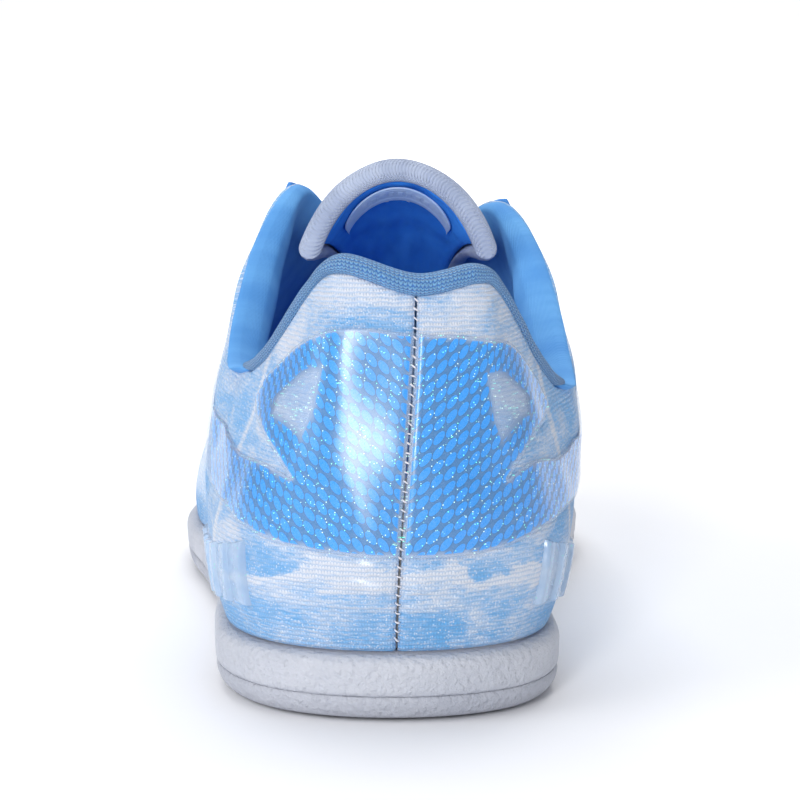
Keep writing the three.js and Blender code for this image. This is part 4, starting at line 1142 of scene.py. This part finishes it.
# Band along the throat with punched lace holes, each cut by a rounded pin.
def makeEyestay(side, sign):
    s = eyestaySettings
    us = sign * np.linspace(s["from"], toeU - 2.2, 180)
    piece = makeLayer("eyestay_" + side + "_fine", materials["eyestay"], us,
                      lambda u: 1 - s["width"] / wallLength(u), lambda u: 1 - s["edge"] / wallLength(u),
                      lambda u, v: s["low"] + s["thickness"] + 0 * v,
                      lambda u, v: s["low"] + 0 * v, 40)
    pins, faces = [], []
    pinSteps, pinSides = 5, 20
    for k in range(s["holes"]):
        u = sign * (s["first"] + s["pitch"] * k)
        v = 1 - s["inset"] / wallLength(u)
        axis = upperPoint(u, v, np.linspace(-4, 4, pinSteps))
        pins.append(tubePoints(axis, s["hole"] / 2, pinSides).reshape(-1, 3))
        faces.append(loftFaces(pinSteps, pinSides) + pinSteps * pinSides * k)
    cutter = makeObject("pins", np.concatenate(pins), np.concatenate(faces), materials["eyestay"])
    cut = piece.modifiers.new("holes", "BOOLEAN")
    cut.operation = "DIFFERENCE"
    cut.solver = "MANIFOLD"
    cut.object = cutter
    graph = bpy.context.evaluated_depsgraph_get()
    made = bpy.data.meshes.new_from_object(piece.evaluated_get(graph))
    # A cut that failed would leave an almost empty mesh.
    if len(made.polygons) > 500:
        piece.modifiers.clear()
        piece.data = made
    bpy.data.objects.remove(cutter)
    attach(piece, "shoe")
    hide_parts("eyestay_" + side)


for sideName, sideSign in sides.items():
    makeMark(sideName, sideSign)
    makeEyestay(sideName, sideSign)
print("marks and eyestays made")

stitchSettings = {"pitch": 1.75, "reach": 0.034, "lift": 0.5, "radius": 0.16, "from": 0.04, "to": 0.93,
                  "slant": 0.004}


# Short stitches across the seam: each an arch of thread, thinning at both ends, all in one mesh.
def makeSeamStitches():
    s = stitchSettings
    rng = np.random.RandomState(5)
    count = int((s["to"] - s["from"]) * wallLength(0) / s["pitch"])
    v = np.linspace(s["from"], s["to"], count)
    points, faces = [], []
    steps, ringSides = 9, 8
    t = np.linspace(-1, 1, steps)
    for k in range(count):
        reach = s["reach"] * rng.uniform(0.85, 1.15)
        path = upperPoint(t * reach, v[k] + s["slant"] * t * rng.uniform(0.4, 1.4),
                          s["lift"] - 0.75 * t ** 4 - 0.1 * rng.rand())
        radius = s["radius"] * (1 - 0.35 * np.abs(t) ** 3) * rng.uniform(0.9, 1.1)
        points.append(tubePoints(path, radius, ringSides).reshape(-1, 3))
        faces.append(loftFaces(steps, ringSides) + k * steps * ringSides)
    piece = makeObject("heel_seam_stitches", np.concatenate(points), np.concatenate(faces),
                       materials["thread"])
    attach(piece, "shoe")
    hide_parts("heel_seam_thread")


makeSeamStitches()
print("heel seam made")

tongueSettings = {
    "shell": 1.4, "gap": 0.4, "padding": 1.8, "lining": 0.7, "rim": 3.4, "baseArch": 18, "tipArch": 23,
    "baseDepth": 16, "tipDepth": 31, "baseAngle": 38, "tipAngle": 70,
}
# Centre line of the tongue's outer face, from under the vamp to the tip.
tongueLine = np.array([
    [1, 190, 45.5], [0.9, 182, 49.6], [0.9, 172, 55.4], [1, 158, 64.2], [1, 140, 75.4], [1, 122, 86.2],
    [1, 108, 93.4], [1, 98, 98], [1, 91.5, 100.6]], float)
tongueLine[:, 2] += soleHeight - 13


# Point on a spline through the tongue's line, its knots spaced by the root of the distance between them.
def tongueCentre(p):
    points = tongueLine
    count = len(points) - 1
    place = np.clip(np.asarray(p, float), 0, 1) * count
    k = np.minimum(np.floor(place).astype(int), count - 1)
    t = place - k
    padded = np.concatenate([[2 * points[0] - points[1]], points, [2 * points[-1] - points[-2]]])
    a, b, c, d = [padded[k + i] for i in range(4)]
    gapA, gapB, gapC = [np.sqrt(np.linalg.norm(n - m, axis=-1))[..., None]
                        for m, n in ((a, b), (b, c), (c, d))]
    slopeB = ((b - a) / gapA - (c - a) / (gapA + gapB) + (c - b) / gapB) * gapB
    slopeC = ((c - b) / gapB - (d - b) / (gapB + gapC) + (d - c) / gapC) * gapB
    t = t[..., None]
    return ((2 * b - 2 * c + slopeB + slopeC) * t ** 3 + (-3 * b + 3 * c - 2 * slopeB - slopeC) * t ** 2
            + slopeB * t + b)


tongueLength = np.linalg.norm(np.diff(tongueCentre(np.linspace(0, 1, 400)), axis=0), axis=1).sum()
tongueHalfGirth = tongueSettings["tipArch"] * math.radians(tongueSettings["tipAngle"])
tongueBack = sum(tongueSettings[k] for k in ("shell", "gap", "padding", "gap", "lining"))


# Point of the tongue: p from base to tip, q from -1 to 1 across, offset inwards from the outer face.
def tonguePoint(p, q, offset):
    s = tongueSettings
    p, q, offset = np.broadcast_arrays(np.asarray(p, float), np.asarray(q, float), np.asarray(offset, float))
    grow = ease(0.25, 1, p)
    half = np.radians(s["baseAngle"] + (s["tipAngle"] - s["baseAngle"]) * grow)
    width = s["baseArch"] + (s["tipArch"] - s["baseArch"]) * grow
    depth = s["baseDepth"] + (s["tipDepth"] - s["baseDepth"]) * grow
    angle = half * q
    trim = 0.05 * q * q * ease(0.6, 1, p)
    inwards = np.array([0, -0.3, -1]) / math.hypot(0.3, 1)
    sideways = np.array([1.0, 0, 0])
    normal = (-depth * np.sin(angle))[..., None] * sideways + (width * np.cos(angle))[..., None] * inwards
    normal /= np.linalg.norm(normal, axis=-1)[..., None]
    return (tongueCentre(p * (1 - trim)) + (width * np.sin(angle))[..., None] * sideways
            + (depth * (1 - np.cos(angle)))[..., None] * inwards
            + normal * (offset * (0.45 + 0.55 * ease(0, 0.25, p)))[..., None])


# One layer of the tongue: a closed loft between its front and back offsets, its edge rounded as an ellipse.
def makeTongueLayer(name, material, front, back, reachP, reachQ, startP, columns=110, rows=200,
                    roundness=0.5):
    p = np.linspace(startP, reachP, rows)[:, None]
    p = startP + (reachP - startP) * np.sin(0.5 * math.pi * (p - startP) / (reachP - startP)) ** 0.9
    q = reachQ * np.sin(np.linspace(-0.5, 0.5, columns) * math.pi)[None, :]
    q = q * 0.4 + 0.6 * reachQ * np.linspace(-1, 1, columns)[None, :]
    edge = np.minimum((reachQ - np.abs(q)) * tongueHalfGirth, (reachP - p) * tongueLength)
    near, far = front(p, q), back(p, q)
    half = (far - near) / 2
    rounding = np.sqrt(np.clip(1 - (1 - np.clip(edge / (half * roundness * 2), 0, 1)) ** 2, 0, 1))
    rounding = 0.05 + 0.95 * rounding
    middle = (near + far) / 2
    allP = np.concatenate([p + 0 * q, (p + 0 * q)[:, ::-1]], 1)
    allQ = np.concatenate([q + 0 * p, (q + 0 * p)[:, ::-1]], 1)
    offsets = np.concatenate([middle - half * rounding, (middle + half * rounding)[:, ::-1]], 1)
    points = tonguePoint(allP, allQ, offsets)
    cloth = np.stack([allQ * tongueHalfGirth, allP * tongueLength], -1) * mm
    piece = makeObject(name, points, loftFaces(*allP.shape), material, [("cloth", cloth)])
    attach(piece, "tongue")
    return piece


# Share of the tongue's rim: 1 at the edge, falling by a smooth step to 0 inside.
def rimShare(p, q):
    reach = np.minimum((1 - np.abs(q)) * tongueHalfGirth, (1 - p) * tongueLength)
    return 1 - ease(tongueSettings["rim"] - 0.9, tongueSettings["rim"] + 0.1, reach)


# Shell with its thick rim, and the padded lining inside the rim.
def makeTongue():
    s = tongueSettings
    shell = makeTongueLayer(
        "tongue_shell_fine", materials["tongue_knit"],
        lambda p, q: -0.12 * ripple(q * 28, p * 120, 11, 31) + 0 * p,
        lambda p, q: s["shell"] + (tongueBack - s["shell"] + 0.15) * rimShare(p, q), 1.0, 1.0, 0.0)
    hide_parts("tongue_shell")
    inP, inQ = 1 - (s["rim"] + 0.2) / tongueLength, 1 - (s["rim"] + 0.2) / tongueHalfGirth
    lining = makeTongueLayer(
        "tongue_lining_fine", materials["lining_fabric"],
        lambda p, q: s["shell"] + 0.45 + 0 * p * q,
        lambda p, q: tongueBack + 0.25 * ripple(q * 28, p * 120, 16, 33), inP, inQ, 0.02, 90, 170, 1.0)
    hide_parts("tongue_lining", "tongue_foam")
    return lining


tongueLining = makeTongue()
labelSettings = {"reach": 0.68, "place": 0.862, "droop": 0.1, "thickness": 0.3}


# Crescent label near the tip: widest at the middle, with plain raised lines and dashes on it.
def makeLabel():
    s = labelSettings
    columns, rows = 240, 60
    a = np.linspace(0, 1, columns)[:, None]
    b = np.linspace(0, 1, rows)[None, :]
    q = s["reach"] * (2 * a - 1) + 0 * b
    bow = np.sqrt(np.maximum(1 - (q / s["reach"]) ** 2, 0))
    p = s["place"] - s["droop"] * (1 - bow) + (b - 0.5) * (0.045 + 0.06 * bow)
    line = bell(b, 0.82, 0.035) + bell(b, 0.18, 0.035)
    dashes = (np.abs(b - 0.5) < 0.13) * (np.sin(q * 60) > -0.2) * (np.abs(q) < 0.42)
    relief = 0.12 * np.minimum(line * bow + dashes, 1)
    top = tonguePoint(p, q, tongueBack + 0.35 + s["thickness"] + relief)
    low = tonguePoint(p, q, tongueBack + 0.3 + 0 * relief)
    loops = np.concatenate([top, low[:, ::-1]], 1)
    cloth = np.stack([np.concatenate([q, q[:, ::-1]], 1) * tongueHalfGirth,
                      np.concatenate([p, p[:, ::-1]], 1) * tongueLength], -1) * mm
    piece = makeObject("tongue_label_fine", loops, loftFaces(columns, rows * 2), materials["label"],
                       [("cloth", cloth)])
    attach(piece, "tongue")
    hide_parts("tongue_label")


makeLabel()


tackSettings = {"place": 0.8, "apart": 0.13, "length": 0.0035, "strandPitch": 0.011, "slant": 0.006,
                "radius": 0.16, "strands": 3}


# Two bar tacks that hold the tongue's lining, each a few strands side by side, arched and sunk at both ends.
def makeTongueTacks():
    s = tackSettings
    steps, ringSides = 9, 6
    t = np.linspace(-1, 1, steps)
    points, faces = [], []
    for centreQ in (-s["apart"], s["apart"]):
        for strand in range(s["strands"]):
            q = centreQ + (strand - 1) * s["strandPitch"] + s["slant"] * t
            path = tonguePoint(s["place"] + s["length"] * t, q, tongueBack + 0.35 - 0.4 * t ** 4)
            faces.append(loftFaces(steps, ringSides) + len(points) * steps * ringSides)
            points.append(tubePoints(path, s["radius"], ringSides).reshape(-1, 3))
    piece = makeObject("tongue_tacks", np.concatenate(points), np.concatenate(faces), materials["thread"])
    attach(piece, "tongue")


makeTongueTacks()
print("tongue made")

hiddenNodes = {
    "strobel_board": "board", "sockliner_foam": "padding_foam", "heel_counter": "stiffener",
    "toe_puff": "stiffener",
}
for nodeName, slotName in hiddenNodes.items():
    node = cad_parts[nodeName]
    node.data.materials.clear()
    node.data.materials.append(materials[slotName])
print("hidden layers painted")

studio = {"floor": 6.0, "world": 0.43, "backdrop": 0.62, "distance": 1.3}
# Softboxes by bearing from the heel, elevation, width, height and power.
softboxes = {
    "key": (-11, 18, 0.2, 0.42, 7.0),
    "left": (-66, 26, 0.9, 0.9, 5.4),
    "side": (68, 22, 0.4, 1.0, 0.35),
    "top": (180, 62, 1.1, 1.1, 12.5),
}


# Square floor just under the shoe, its glow rising with distance.
def makeFloor():
    size = studio["floor"]
    mesh = bpy.data.meshes.new("floor")
    corners = [(-size, -size), (size, -size), (size, size), (-size, size)]
    mesh.from_pydata([(x, y, -0.0006) for x, y in corners], [], [(0, 1, 2, 3)])
    material, tree, shader = newMaterial("floor", 0.75)
    shader.inputs["Specular IOR Level"].default_value = 0.15
    speck = addNode(tree, "ShaderNodeTexNoise",
                    {"Vector": objectPlace(tree, 40), "Scale": 1.0, "Detail": 3.0})
    tree.links.new(mixColour(tree, speck.outputs[0], (0.93, 0.93, 0.95, 1), (0.95, 0.95, 0.965, 1)),
                   shader.inputs["Base Color"])
    tree.links.new(bump(tree, speck.outputs[0], 0.00002), shader.inputs["Normal"])
    # The sweep beyond the shoe is lit on its own, as a white backdrop is.
    reach = addNode(tree, "ShaderNodeVectorMath", {0: objectPlace(tree, 1)},
                    operation="LENGTH").outputs["Value"]
    tree.links.new(calc(tree, "MULTIPLY", smoothStep(tree, reach, 0.2, 1.1), studio["backdrop"]),
                   shader.inputs["Emission Strength"])
    shader.inputs["Emission Color"].default_value = (1, 1, 1, 1)
    mesh.materials.append(material)
    floor = bpy.data.objects.new("floor", mesh)
    scene.collection.objects.link(floor)


# A softbox at a bearing and height that faces the shoe's heel.
def makeSoftbox(name, bearing, elevation, width, height, power):
    data = bpy.data.lights.new(name, "AREA")
    data.shape = "RECTANGLE"
    data.size, data.size_y = width, height
    data.energy = power
    light = bpy.data.objects.new(name, data)
    bearing, elevation = math.radians(bearing), math.radians(elevation)
    offset = np.array([math.sin(bearing) * math.cos(elevation), -math.cos(bearing) * math.cos(elevation),
                       math.sin(elevation)]) * studio["distance"]
    light.location = offset + np.array([0, -0.06, 0.04])
    light.rotation_euler = Vector(-offset).to_track_quat("-Z", "Y").to_euler()
    scene.collection.objects.link(light)


# Even sky light, with its own strength for what the camera sees.
def makeWorld():
    world = bpy.data.worlds.new("studio")
    scene.world = world
    world.use_nodes = True
    background = world.node_tree.nodes["Background"]
    background.inputs["Color"].default_value = (0.93, 0.95, 1.0, 1)
    rays = addNode(world.node_tree, "ShaderNodeLightPath").outputs["Is Camera Ray"]
    strength = mixValue(world.node_tree, rays, studio["world"], 1.2)
    world.node_tree.links.new(strength, background.inputs["Strength"])


makeFloor()
makeWorld()
for boxName, boxSettings in softboxes.items():
    makeSoftbox(boxName, *boxSettings)
scene.view_settings.view_transform = "Standard"
print("studio made")
